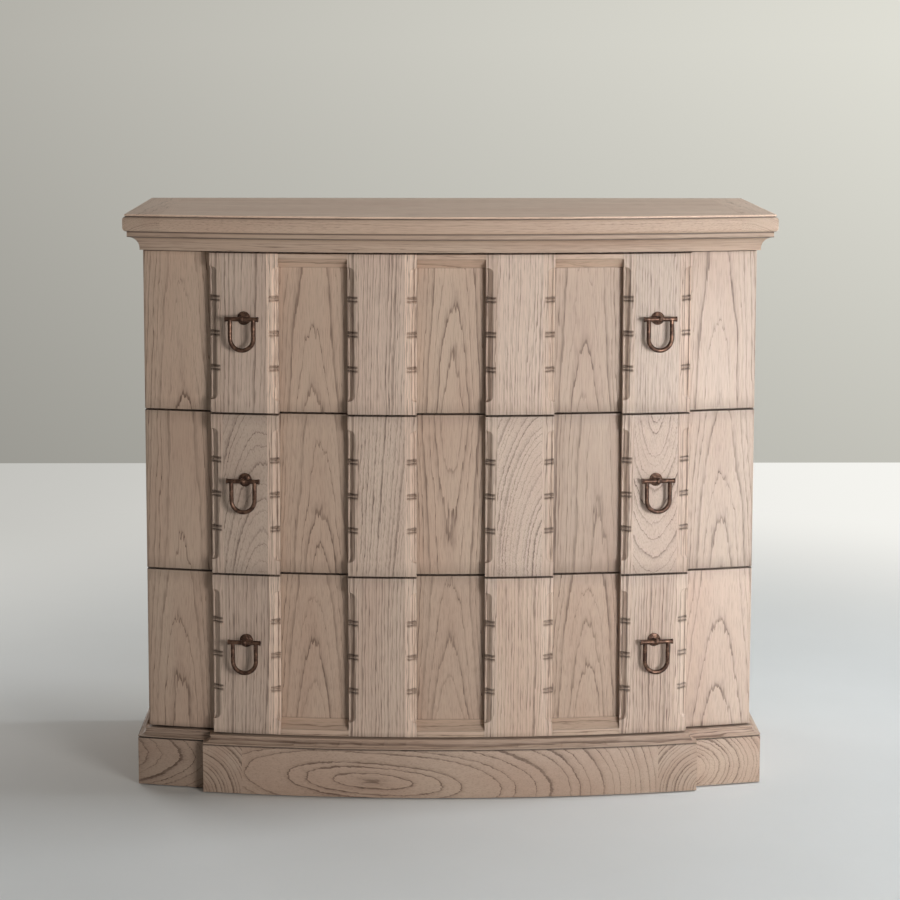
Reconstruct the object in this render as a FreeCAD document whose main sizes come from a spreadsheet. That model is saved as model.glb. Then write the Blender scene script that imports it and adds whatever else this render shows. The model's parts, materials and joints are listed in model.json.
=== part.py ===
import FreeCAD, Part
import os
import re
import Sketcher

# A block front chest: three bowed drawers between a moulded cornice and a breakfront plinth.
# Millimetres, +Z up, the front faces -Y, the origin is on the floor under the middle of the top.
# The whole front bends about one vertical bow axis behind the chest. Each drawer front is nine
# strips wide: the outer strips and three recesses lie on the bow, four blocks stand proud of it.

SIZES = {
    "top_width": ("1067", "slab, side to side"),
    "top_depth": ("508", "slab, back edge to the middle of its bowed front"),
    "top_thickness": ("28.5", "slab"),
    "top_overhang": ("28.5", "slab past the case sides and the block faces"),
    "top_edge_radius": ("4", "rounding of the slab's arrises"),
    "top_band_width": ("62", "cross-grained end of the slab"),
    "fillet_overhang": ("22", "square fillet under the slab, past the case"),
    "fillet_height": ("9", "square fillet under the slab"),
    "cove_overhang": ("3", "foot of the cornice, past the case"),
    "cove_lip": ("3", "upright lip at the foot of the cornice"),
    "bow_rise": ("62.5", "how far the front bows out over the width of the case"),
    "block_rise": ("22.5", "how far the blocks stand proud of the bow"),
    "plinth_height": ("96.5", "floor to the top of the plinth"),
    "plinth_overhang": ("17.5", "plinth face past the case"),
    "plinth_face_height": ("80.9", "floor to the groove over the plinth's plain face"),
    "plinth_quirk_height": ("2.4", "groove over the plain face"),
    "plinth_quirk_depth": ("1.5", "groove over the plain face"),
    "plinth_fillet_height": ("1.5", "square edge over the groove"),
    "plinth_ledge": ("2.8", "flat ledge between that edge and the cove"),
    "plinth_cap_height": ("2", "square edge at the head of the plinth"),
    "plinth_cap_overhang": ("1.5", "that edge past the head of the cove"),
    "glide_height": ("2", "floor glides hold the chest this far off the floor"),
    "glide_radius": ("13", "floor glides"),
    "front_gap": ("3", "gap above and below each drawer front"),
    "front_seat": ("1.5", "gap between a drawer front and the case edges"),
    "front_thickness": ("22", "drawer front at a recess"),
    "bottom_front_height": ("266.8", "bottom drawer front"),
    "middle_front_height": ("264.8", "middle drawer front"),
    "top_front_height": ("261.4", "top drawer front"),
    "upper_rail_flat": ("8", "rail over the recesses of the top drawer"),
    "upper_rail_bevel": ("15.5", "bevel under that rail"),
    "lower_rail_flat": ("10", "rail under the recesses of the bottom drawer"),
    "lower_rail_bevel": ("14.5", "bevel over that rail"),
    "chamfer_leg": ("11.5", "chamfer on the block edges"),
    "ring_leg": ("6", "shallower chamfer that leaves a ring proud"),
    "ring_thickness": ("6.5", "ring on a block edge"),
    "ring_pitch": ("57", "ring to ring along a block edge"),
    "stop_reach": ("109.5", "middle of a block edge to the round stop of its chamfer"),
    "side_thickness": ("19", "case sides"),
    "back_thickness": ("9", "case back"),
    "bottom_thickness": ("18", "case bottom"),
    "divider_thickness": ("19", "rails between the drawers"),
    "rail_depth": ("110", "rails, front to back on the middle line"),
    "block_size": ("45", "corner blocks inside the plinth"),
    "runner_height": ("20", "wooden drawer runners"),
    "runner_bite": ("7", "how far a runner reaches into its groove"),
    "runner_setback": ("22", "case front edge to the front end of a runner"),
    "runner_clearance": ("0.3", "runner to groove"),
    "box_side_gap": ("4", "drawer side to case side"),
    "box_side_thickness": ("15", "drawer sides"),
    "box_side_height": ("200", "drawer sides"),
    "box_lift": ("14", "drawer side above the lower edge of its front"),
    "box_back_gap": ("20", "drawer back to case back"),
    "box_back_thickness": ("12", "drawer back"),
    "box_bottom_thickness": ("6", "drawer bottom"),
    "box_bottom_lift": ("12", "drawer bottom above the lower edge of the sides"),
    "box_groove_depth": ("6", "how far the drawer bottom reaches into the sides"),
    "box_groove_clearance": ("0.2", "drawer bottom to its groove"),
    "pull_rise": ("25", "pull above the middle of its drawer front"),
    "rosette_radius": ("11", "round plate of a pull"),
    "rosette_rim": ("1.6", "edge of the round plate"),
    "rosette_dome": ("2.2", "rise of the round plate to its post"),
    "post_radius": ("3.6", "post of a pull"),
    "ball_radius": ("5.6", "ball on the post"),
    "bar_reach": ("18", "cross bar in front of the block face"),
    "bar_radius": ("3.65", "cross bar"),
    "bar_length": ("55", "cross bar"),
    "bar_flare": ("4.4", "radius of the cross bar at its ends"),
    "bar_flare_length": ("4", "length of the flared end"),
    "bar_clearance": ("0.05", "cross bar in the ball"),
    "bail_wire_radius": ("3.6", "bail"),
    "bail_half_span": ("19.3", "middle of the bail to the middle of its leg"),
    "bail_drop": ("51", "bar axis to the middle of the wire at the foot of the bail"),
    "bolt_radius": ("2", "bolt that holds a pull"),
    "bolt_bite": ("9", "length of the bolt inside the pull"),
    "bolt_head_radius": ("4.5", "bolt head"),
    "bolt_head_height": ("3", "bolt head"),
    "bolt_clearance": ("0.2", "bolt in the drawer front"),
    "cut_overrun": ("40", "how far a cutting solid reaches past what it cuts"),
}

# Where things stand across the front, in strips from the middle line.
STRIPS = 9
BLOCK_LEFT_SHARES = (-3.5, -1.5, 0.5, 2.5)
RECESS_LEFT_SHARES = (-2.5, -0.5, 1.5)
OUTER_SHARE = 3.5
PULL_SHARE = 3

# Places and sizes that follow from those above.
LAYOUT = {
    "body_half": "top_width / 2 - top_overhang",
    "case_half": "body_half - side_thickness",
    "strip_pitch": f"2 * body_half / {STRIPS}",
    "slab_front": "-top_depth / 2",
    "slab_back": "top_depth / 2",
    "bow_radius": "(body_half ^ 2 + bow_rise ^ 2) / (2 * bow_rise)",
    "block_radius": "bow_radius + block_rise",
    "slab_radius": "block_radius + top_overhang",
    "inner_radius": "bow_radius - front_thickness",
    "case_radius": "inner_radius - front_seat",
    "bow_axis": "slab_front + slab_radius",
    "case_crown": "bow_axis - case_radius",
    "case_edge": "bow_axis - sqrt(case_radius ^ 2 - body_half ^ 2)",
    "bow_sweep": "3 * asin(top_width / 2 / bow_radius)",
    "cove_radius": "fillet_overhang - cove_overhang",
    "plinth_ledge_z": "plinth_face_height + plinth_quirk_height + plinth_fillet_height",
    "plinth_cove": "plinth_height - plinth_cap_height - plinth_ledge_z",
    "bottom_front_z": "plinth_height + front_gap",
    "middle_front_z": "bottom_front_z + bottom_front_height + front_gap",
    "top_front_z": "middle_front_z + middle_front_height + front_gap",
    "cornice_z": "top_front_z + top_front_height + front_gap",
    "fillet_z": "cornice_z + cove_lip + cove_radius",
    "slab_z": "fillet_z + fillet_height",
    "chest_height": "slab_z + top_thickness",
    "floor_z": "plinth_height - bottom_thickness",
    "back_face": "slab_back - back_thickness",
    "box_half": "case_half - box_side_gap",
    "box_inner": "box_half - box_side_thickness",
    "box_back": "back_face - box_back_gap",
    "pull_turn": f"asin({PULL_SHARE} * strip_pitch / block_radius)",
    "bail_leg": "bail_drop - bail_half_span",
}

LEFT_EDGE_TURN = -135                           # where the left and right edges of a block face
RIGHT_EDGE_TURN = -45
DRAWERS = ("bottom", "middle", "top")
HANDS = {"left": "-1", "right": "1"}

UP = FreeCAD.Vector(0, 0, 1)
TO_FRONT = FreeCAD.Rotation(FreeCAD.Vector(1, 0, 0), 90)      # +Z becomes -Y
TO_LOWER = FreeCAD.Rotation(FreeCAD.Vector(1, 0, 0), -90)     # +Y becomes -Z
TO_RIGHT = FreeCAD.Rotation(FreeCAD.Vector(0, 1, 0), 90)      # +Z becomes +X
TO_LEFT = FreeCAD.Rotation(FreeCAD.Vector(0, 1, 0), -90)      # +Z becomes -X
BOW_PLANE = FreeCAD.Rotation(FreeCAD.Vector(0, -1, 0), UP, FreeCAD.Vector(-1, 0, 0), "XYZ")

doc = FreeCAD.newDocument("block_front_chest")
sizes = doc.addObject("Spreadsheet::Sheet", "sizes")
layout = doc.addObject("Spreadsheet::Sheet", "layout")
sheet_of = {alias: "sizes" for alias in SIZES}
sheet_of.update({alias: "layout" for alias in LAYOUT})
nodes = []


def ref(formula):
    """Puts the sheet's name before each alias in a formula."""
    def full(word):
        alias = word.group()
        return f"{sheet_of[alias]}.{alias}" if alias in sheet_of else alias
    return re.sub(r"[a-z]+(_[a-z]+)+", full, formula)


for row, (alias, (figure, note)) in enumerate(SIZES.items(), start=1):
    sizes.set(f"A{row}", note)
    sizes.set(f"B{row}", figure)
    sizes.setAlias(f"B{row}", alias)
doc.recompute()
for row, (alias, formula) in enumerate(LAYOUT.items(), start=1):
    layout.set(f"B{row}", "=" + ref(formula))
    layout.setAlias(f"B{row}", alias)
    doc.recompute()


def bind(thing, **formulas):
    """Ties an object's own sizes to formulas."""
    for name, formula in formulas.items():
        thing.setExpression(name, ref(formula))
    return thing


def place(thing, x, y, z, turn=None):
    """Ties an object's place, and its turn about the upright axis, to formulas."""
    thing.setExpression("Placement.Base.x", ref(x))
    thing.setExpression("Placement.Base.y", ref(y))
    thing.setExpression("Placement.Base.z", ref(z))
    if turn is not None:
        thing.setExpression("Placement.Rotation.Angle", ref(turn))
    return thing


def solid(kind, name, at, rotation=None, **formulas):
    """A primitive solid with its sizes and place tied to formulas."""
    thing = doc.addObject(kind, name)
    if rotation is not None:
        thing.Placement = FreeCAD.Placement(FreeCAD.Vector(0, 0, 0), rotation)
    bind(thing, **formulas)
    return place(thing, *at)


def box(name, low, high):
    """An upright box between two corners."""
    spans = [f"({top}) - ({foot})" for foot, top in zip(low, high)]
    return solid("Part::Box", name, low, Length=spans[0], Width=spans[1], Height=spans[2])


def bow_cylinder(name, radius, foot, top):
    """An upright cylinder about the bow axis."""
    return solid("Part::Cylinder", name, ("0", "bow_axis", foot), Radius=radius,
                 Height=f"({top}) - ({foot})")


def bow_cone(name, foot_radius, top_radius, foot, top):
    """An upright cone about the bow axis."""
    return solid("Part::Cone", name, ("0", "bow_axis", foot), Radius1=foot_radius,
                 Radius2=top_radius, Height=f"({top}) - ({foot})")


def cut(name, base, tool):
    """The base without what the tool takes."""
    thing = doc.addObject("Part::Cut", name)
    thing.Base = base
    thing.Tool = tool
    return thing


def common(name, first, second):
    """What two solids share."""
    thing = doc.addObject("Part::Common", name)
    thing.Base = first
    thing.Tool = second
    return thing


def fuse(name, *pieces):
    """Several solids as one."""
    thing = doc.addObject("Part::MultiFuse", name)
    thing.Shapes = list(pieces)
    thing.Refine = True
    return thing


def group(name, *pieces):
    """Several solids that stay apart."""
    thing = doc.addObject("Part::Compound", name)
    thing.Links = list(pieces)
    return thing


def mirror(name, source):
    """The same solid on the other side of the middle line."""
    thing = doc.addObject("Part::Mirroring", name)
    thing.Source = source
    thing.Normal = FreeCAD.Vector(1, 0, 0)
    return thing


def node(label, thing):
    """Marks an object as a finished piece of the chest."""
    thing.Label = label
    nodes.append(thing)
    return thing


def number(formula):
    """What a formula comes to now."""
    return float(sizes.evalExpression(ref(formula)))


def outline(name, corners):
    """A closed sketch through corners given by formulas.

    A corner is (x, y), or (x, y, middle x, middle y, turns left) where an arc about that middle
    ends at the corner.
    """
    sketch = doc.addObject("Sketcher::SketchObject", name)
    points = [FreeCAD.Vector(number(corner[0]), number(corner[1]), 0) for corner in corners]
    edges = []
    for at, corner in enumerate(corners):
        start = points[at - 1]
        end = points[at]
        if len(corner) == 2:
            edges.append(sketch.addGeometry(Part.LineSegment(start, end)))
            continue
        middle = FreeCAD.Vector(number(corner[2]), number(corner[3]), 0)
        first, last = (start, end) if corner[4] else (end, start)
        circle = Part.Circle(middle, UP, (start - middle).Length)
        edges.append(sketch.addGeometry(Part.ArcOfCircle(
            circle, circle.parameter(first), circle.parameter(last))))
    for at, corner in enumerate(corners):
        end_point = 2 if len(corner) == 2 or corner[4] else 1
        following = corners[(at + 1) % len(corners)]
        next_edge = edges[(at + 1) % len(corners)]
        next_point = 1 if len(following) == 2 or following[4] else 2
        sketch.addConstraint(Sketcher.Constraint("Coincident", edges[at], end_point, next_edge, next_point))
        ties = [("DistanceX", end_point, corner[0], "across"), ("DistanceY", end_point, corner[1], "up")]
        if len(corner) > 2:
            ties.append(("DistanceX", 3, corner[2], "middle"))
        for kind, point, formula, word in ties:
            tie = sketch.addConstraint(
                Sketcher.Constraint(kind, -1, 1, edges[at], point, number(formula)))
            sketch.renameConstraint(tie, f"{word}_{at}")
            sketch.setExpression(f"Constraints.{word}_{at}", ref(formula))
    return sketch


def both_sides(right):
    """The right half of an outline, followed by its mirror image on the left."""
    left = []
    for at in reversed(range(len(right))):
        across, up = right[at][:2]
        following = right[at + 1] if at + 1 < len(right) else ()
        arc = (f"-({following[2]})", *following[3:]) if len(following) > 2 else ()
        left.append((f"-({across})", up, *arc))
    return right + left


def revolved(name, corners):
    """An outline of (radius, height) swept about the bow axis, across the whole front."""
    sketch = outline(name + "_outline", corners)
    sketch.Placement = FreeCAD.Placement(FreeCAD.Vector(0, 0, 0), BOW_PLANE)
    place(sketch, "0", "bow_axis", "0")
    thing = doc.addObject("Part::Revolution", name)
    thing.Source = sketch
    thing.Axis = UP
    thing.Symmetric = True
    thing.Solid = True
    return bind(thing, **{"Angle": "bow_sweep", "Base.y": "bow_axis"})


def extruded(name, corners):
    """An outline of (across, height) drawn out from the front of the slab to the back."""
    sketch = outline(name + "_outline", corners)
    sketch.Placement = FreeCAD.Placement(FreeCAD.Vector(0, 0, 0), TO_FRONT)
    place(sketch, "0", "slab_front", "0")
    thing = doc.addObject("Part::Extrusion", name)
    thing.Base = sketch
    thing.DirMode = "Custom"
    thing.Dir = FreeCAD.Vector(0, 1, 0)
    thing.Solid = True
    return bind(thing, LengthFwd="top_depth")


def behind_mitre(name, radius, overhang, foot, top):
    """The space right of the case and behind the mitre where a side moulding meets the front."""
    near = f"bow_axis - sqrt(({radius}) ^ 2 - body_half ^ 2)"
    far = f"bow_axis - sqrt(({radius} + {overhang}) ^ 2 - (body_half + {overhang}) ^ 2)"
    slab = solid("Part::Box", name + "_swing", ("0", "0", "0"), Length="4 * top_depth",
                 Width="2 * top_depth", Height=f"({top}) - ({foot})")
    slope = f"atan((({far}) - ({near})) / {overhang})"
    place(slab, f"body_half - 2 * top_depth * cos({slope})", f"({near}) - 2 * top_depth * sin({slope})",
          foot, slope)
    outside = box(name + "_outside", ("body_half", "2 * slab_front", foot),
                  ("top_width", "2 * slab_back", top))
    return common(name, slab, outside)


def make_top():
    """The slab: a field between two cross-grained ends, with rounded arrises."""
    def edge(side):
        inner = f"{side} - top_edge_radius"
        return [(inner, "slab_z"),
                (side, "slab_z + top_edge_radius", inner, "slab_z + top_edge_radius", True),
                (side, "chest_height - top_edge_radius"),
                (inner, "chest_height", inner, "chest_height - top_edge_radius", True)]
    behind = "bow_axis - 2 * slab_back"
    bow = revolved("slab_bow", edge("slab_radius") + [(behind, "chest_height"), (behind, "slab_z")])
    slab = common("slab", bow, extruded("slab_sides", both_sides(edge("top_width / 2"))))
    joint = "top_width / 2 - top_band_width"
    field = box("top_field_span", (f"-({joint})", "slab_front", "slab_z"),
                (joint, "slab_back", "chest_height"))
    band = box("top_band_span", (joint, "slab_front", "slab_z"),
               ("top_width / 2", "slab_back", "chest_height"))
    node("top_field", common("top_field", slab, field))
    right = node("top_band_right", common("top_band_right", slab, band))
    node("top_band_left", mirror("top_band_left", right))


def make_cornice():
    """The cove and fillet under the slab, mitred at the front corners."""
    def moulding(face, inner):
        fillet = f"{face} + fillet_overhang"
        foot = f"{face} + cove_overhang"
        lip = "cornice_z + cove_lip"
        return [(inner, "cornice_z"), (foot, "cornice_z"), (foot, lip),
                (fillet, "fillet_z", fillet, lip, False), (fillet, "slab_z"), (inner, "slab_z")]
    mitre = behind_mitre("cornice_mitre", "block_radius", "fillet_overhang", "cornice_z", "slab_z")
    front = revolved("cornice_bow", moulding("block_radius", "case_radius"))
    side = extruded("cornice_run", moulding("body_half", "body_half"))
    both = group("cornice_mitres", mitre, mirror("cornice_mitre_left", mitre))
    node("cornice_front", cut("cornice_front", front, both))
    right = node("cornice_right", common("cornice_right", side, mitre))
    node("cornice_left", mirror("cornice_left", right))


def make_plinth():
    """The breakfront plinth: a proud centre, two wings, two sides and a back."""
    def face_edge(face):
        outer = f"{face} + plinth_overhang"
        groove = f"{outer} - plinth_quirk_depth"
        groove_top = "plinth_face_height + plinth_quirk_height"
        cove_foot = f"{outer} - plinth_ledge"
        cove_head = f"{cove_foot} - plinth_cove"
        cap = f"{cove_head} + plinth_cap_overhang"
        under_cap = "plinth_height - plinth_cap_height"
        return [(outer, "glide_height"), (outer, "plinth_face_height"),
                (groove, "plinth_face_height"), (groove, groove_top), (outer, groove_top),
                (outer, "plinth_ledge_z"), (cove_foot, "plinth_ledge_z"),
                (cove_head, under_cap, cove_foot, under_cap, False), (cap, under_cap), (cap, "plinth_height")]

    def moulding(face, inner):
        return [(inner, "glide_height"), *face_edge(face), (inner, "plinth_height")]
    outer_wall = f"{OUTER_SHARE} * strip_pitch"
    mitre = behind_mitre("plinth_mitre", "bow_radius", "plinth_overhang", "glide_height", "plinth_height")
    bow = revolved("plinth_wing_bow", moulding("bow_radius", "case_radius"))
    middle_span = box("plinth_middle_span", ("-top_width", "2 * slab_front", "glide_height"),
                      (outer_wall, "slab_back", "plinth_height"))
    wing = node("plinth_wing_right", cut("plinth_wing_right", cut("plinth_wing_blank", bow, middle_span), mitre))
    other_wing = node("plinth_wing_left", mirror("plinth_wing_left", wing))
    returns = extruded("plinth_returns", both_sides(face_edge(outer_wall)))
    proud = common("plinth_proud", revolved("plinth_centre_bow", moulding("block_radius", "case_radius")), returns)
    node("plinth_centre", cut("plinth_centre", proud, group("plinth_wings", wing, other_wing)))
    side = common("plinth_side_right", extruded("plinth_run", moulding("body_half", "body_half")), mitre)
    node("plinth_side_right", side)
    node("plinth_side_left", mirror("plinth_side_left", side))
    node("plinth_back", box("plinth_back", ("-case_half", "slab_back - side_thickness", "glide_height"),
                            ("case_half", "slab_back", "floor_z")))
    make_blocks_and_glides()


def make_blocks_and_glides():
    """Corner blocks inside the plinth, each with a round glide under it."""
    half = "block_size / 2"
    rear = f"slab_back - side_thickness - {half}"
    spots = {"front_left": (f"-case_half + {half}", f"case_edge + {half}"),
             "front_right": (f"case_half - {half}", f"case_edge + {half}"),
             "front_middle": ("0", f"case_crown + {half}"),
             "back_left": (f"-case_half + {half}", rear),
             "back_right": (f"case_half - {half}", rear)}
    blocks = []
    glides = []
    for spot, (x, y) in spots.items():
        blocks.append(box(f"block_{spot}", (f"{x} - {half}", f"{y} - block_size", "glide_height"),
                          (f"{x} + {half}", f"{y} + {half}", "floor_z")))
        glides.append(solid("Part::Cylinder", f"glide_{spot}", (x, y, "0"), Radius="glide_radius",
                            Height="glide_height"))
    inside = bow_cylinder("block_arc", "case_radius", "glide_height", "floor_z")
    node("corner_blocks", common("corner_blocks", group("block_blanks", *blocks), inside))
    node("floor_glides", group("floor_glides", *glides))


def make_case():
    """Sides, back, bottom and the bowed rails that the drawers pass between."""
    inside = bow_cylinder("case_arc", "case_radius", "0", "chest_height")
    blank = box("side_blank", ("case_half", "slab_front", "glide_height"),
                ("body_half", "slab_back", "slab_z"))
    right = node("side_right", common("side_right", blank, inside))
    node("side_left", mirror("side_left", right))
    node("back_panel", box("back_panel", ("-case_half", "back_face", "floor_z"),
                           ("case_half", "slab_back", "slab_z")))
    floor = box("case_bottom_blank", ("-case_half", "slab_front", "floor_z"),
                ("case_half", "back_face", "plinth_height"))
    node("case_bottom", common("case_bottom", floor, inside))
    half = "divider_thickness / 2"
    lower = "middle_front_z - front_gap / 2"
    upper = "top_front_z - front_gap / 2"
    rails = {"divider_lower": (f"{lower} - {half}", f"{lower} + {half}"),
             "divider_upper": (f"{upper} - {half}", f"{upper} + {half}"),
             "top_rail_front": ("cornice_z", "slab_z")}
    for label, (foot, top) in rails.items():
        rail = box(label + "_blank", ("-case_half", "slab_front", foot),
                   ("case_half", "case_crown + rail_depth", top))
        node(label, common(label, rail, inside))
    node("top_rail_back", box("top_rail_back", ("-case_half", "back_face - rail_depth / 2", "cornice_z"),
                              ("case_half", "back_face", "slab_z")))


def runner_foot(drawer):
    """Where the lower edge of a drawer's runners lies."""
    return f"{drawer}_front_z + box_lift + box_side_height / 2 - runner_height / 2"


def make_runners():
    """One wooden strip on each case side for each drawer."""
    runners = []
    for drawer in DRAWERS:
        foot = runner_foot(drawer)
        strip = box(f"runner_{drawer}_right",
                    ("box_half - runner_bite", "case_edge + runner_setback", foot),
                    ("case_half", "back_face", f"{foot} + runner_height"))
        runners += [strip, mirror(f"runner_{drawer}_left", strip)]
    node("drawer_runners", group("drawer_runners", *runners))


def make_edge_cutter():
    """Cuts one block edge: a stopped chamfer that leaves three rings proud.

    It stands at the origin, with +X pointing out of the edge and the middle of the edge at height 0.
    """
    deep = "chamfer_leg / sqrt(2)"
    shallow = "ring_leg / sqrt(2)"
    round_end = "stop_reach - chamfer_leg"
    half = "ring_thickness / 2"
    runs = {"upper": ("ring_pitch + " + half, round_end), "middle_up": (half, "ring_pitch - " + half)}
    pieces = [box("edge_rings", (f"-{shallow}", "-chamfer_leg", f"-({round_end})"),
                  ("chamfer_leg", "chamfer_leg", round_end))]
    for name, (foot, top) in runs.items():
        pieces.append(box(f"edge_{name}", (f"-{deep}", "-chamfer_leg", foot),
                          ("chamfer_leg", "chamfer_leg", top)))
        pieces.append(box(f"edge_{name}_below", (f"-{deep}", "-chamfer_leg", f"-({top})"),
                          ("chamfer_leg", "chamfer_leg", f"-({foot})")))
    for name, height in (("top", round_end), ("foot", f"-({round_end})")):
        pieces.append(solid("Part::Cylinder", f"edge_stop_{name}", (f"-{deep}", "0", height), TO_RIGHT,
                            Radius="chamfer_leg", Height=f"chamfer_leg + {deep}"))
    return fuse("edge_cutter", *pieces)


def make_edge_cutters(drawer, cutter, middle):
    """The cutter at both edges of all four blocks of a drawer front."""
    cutters = []
    for left in BLOCK_LEFT_SHARES:
        for share, facing in ((left, LEFT_EDGE_TURN), (left + 1, RIGHT_EDGE_TURN)):
            x = f"{share} * strip_pitch"
            link = doc.addObject("App::Link", f"{drawer}_edge_{len(cutters)}")
            link.LinkedObject = cutter
            place(link, x, f"bow_axis - sqrt(block_radius ^ 2 - ({x}) ^ 2)", middle,
                  f"{facing} + asin(({x}) / block_radius) / 1deg")
            cutters.append(link)
    return group(f"{drawer}_edge_cutters", *cutters)


def make_recesses(drawer, foot, top):
    """What is cut away between the blocks, down to the bow."""
    plain = bow_cylinder(f"{drawer}_bow", "bow_radius", foot, top)
    low = foot
    high = top
    cores = [plain]
    if drawer == "top":
        rail = f"{top} - upper_rail_flat"
        cores.append(bow_cone(f"{drawer}_bevel", "bow_radius", "block_radius",
                              f"{rail} - upper_rail_bevel", rail))
        high = rail
    if drawer == "bottom":
        rail = f"{foot} + lower_rail_flat"
        cores.append(bow_cone(f"{drawer}_bevel", "block_radius", "bow_radius",
                              rail, f"{rail} + lower_rail_bevel"))
        low = rail
    spans = []
    for left in RECESS_LEFT_SHARES:
        spans.append(box(f"{drawer}_recess_{len(spans)}", (f"{left} * strip_pitch", "2 * slab_front", low),
                         (f"{left + 1} * strip_pitch", "slab_back", high)))
    core = fuse(f"{drawer}_core", *cores) if len(cores) > 1 else plain
    recesses = cut(f"{drawer}_recesses", group(f"{drawer}_recess_spans", *spans), core)
    right = box(f"{drawer}_outer_span", (f"{OUTER_SHARE} * strip_pitch", "2 * slab_front", foot),
                ("top_width", "slab_back", top))
    outer = group(f"{drawer}_outer_spans", right, mirror(f"{drawer}_outer_span_left", right))
    return recesses, cut(f"{drawer}_outers", outer, plain)


def pull_place(thing, hand, height):
    """Stands a piece of a pull on its block, square to the bow."""
    side = HANDS[hand]
    return place(thing, f"{side} * block_radius * sin(pull_turn)",
                 "bow_axis - block_radius * cos(pull_turn)", height, f"{side} * pull_turn / 1deg")


def make_front(drawer, cutter):
    """A drawer front: nine strips, with carved block edges and holes for the pulls."""
    foot = f"{drawer}_front_z"
    top = f"{foot} + {drawer}_front_height"
    middle = f"{foot} + {drawer}_front_height / 2"
    blank = common(f"{drawer}_blank", bow_cylinder(f"{drawer}_blocks", "block_radius", foot, top),
                   box(f"{drawer}_span", ("-body_half", "2 * slab_front", foot), ("body_half", "0", top)))
    hollow = bow_cylinder(f"{drawer}_hollow", "inner_radius", foot, top)
    shell = cut(f"{drawer}_shell", blank, hollow)
    recesses, outers = make_recesses(drawer, foot, top)
    stepped = cut(f"{drawer}_stepped", cut(f"{drawer}_strips", shell, recesses), outers)
    carved = cut(f"{drawer}_carved", stepped, make_edge_cutters(drawer, cutter, middle))
    drills = []
    for hand in HANDS:
        drill = solid("Part::Cylinder", f"{drawer}_drill_{hand}",
                      ("0", "front_thickness + block_rise + cut_overrun", "0"), TO_FRONT,
                      Radius="bolt_radius + bolt_clearance",
                      Height="front_thickness + block_rise + 2 * cut_overrun")
        drills.append(pull_place(group(f"{drawer}_hole_{hand}", drill), hand, f"{middle} + pull_rise"))
    node(f"{drawer}_drawer_front", cut(f"{drawer}_front", carved, group(f"{drawer}_holes", *drills)))


def make_box(drawer):
    """The drawer box behind a front: grooved sides, back and bottom."""
    foot = f"{drawer}_front_z + box_lift"
    top = f"{foot} + box_side_height"
    floor = f"{foot} + box_bottom_lift"
    floor_top = f"{floor} + box_bottom_thickness"
    inside = bow_cylinder(f"{drawer}_box_arc", "inner_radius", foot, top)
    blank = box(f"{drawer}_side_blank", ("box_inner", "slab_front", foot), ("box_half", "box_back", top))
    run = runner_foot(drawer)
    groove = box(f"{drawer}_runner_groove",
                 ("box_half - runner_bite - runner_clearance", "slab_front", f"{run} - runner_clearance"),
                 ("case_half", "slab_back", f"{run} + runner_height + runner_clearance"))
    slot = box(f"{drawer}_bottom_groove",
               ("0", "slab_front", f"{floor} - box_groove_clearance"),
               ("box_inner + box_groove_depth + box_groove_clearance", "slab_back",
                f"{floor_top} + box_groove_clearance"))
    fitted = common(f"{drawer}_side_fitted", blank, inside)
    right = cut(f"{drawer}_side_right", fitted, group(f"{drawer}_grooves", groove, slot))
    node(f"{drawer}_drawer_side_right", right)
    node(f"{drawer}_drawer_side_left", mirror(f"{drawer}_side_left", right))
    node(f"{drawer}_drawer_back",
         box(f"{drawer}_back", ("-box_inner", "box_back - box_back_thickness", floor_top),
             ("box_inner", "box_back", f"{top} - box_bottom_lift")))
    tray = box(f"{drawer}_tray", ("-box_inner - box_groove_depth", "slab_front", floor),
               ("box_inner + box_groove_depth", "box_back", floor_top))
    node(f"{drawer}_drawer_bottom", common(f"{drawer}_bottom", tray, inside))


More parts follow.
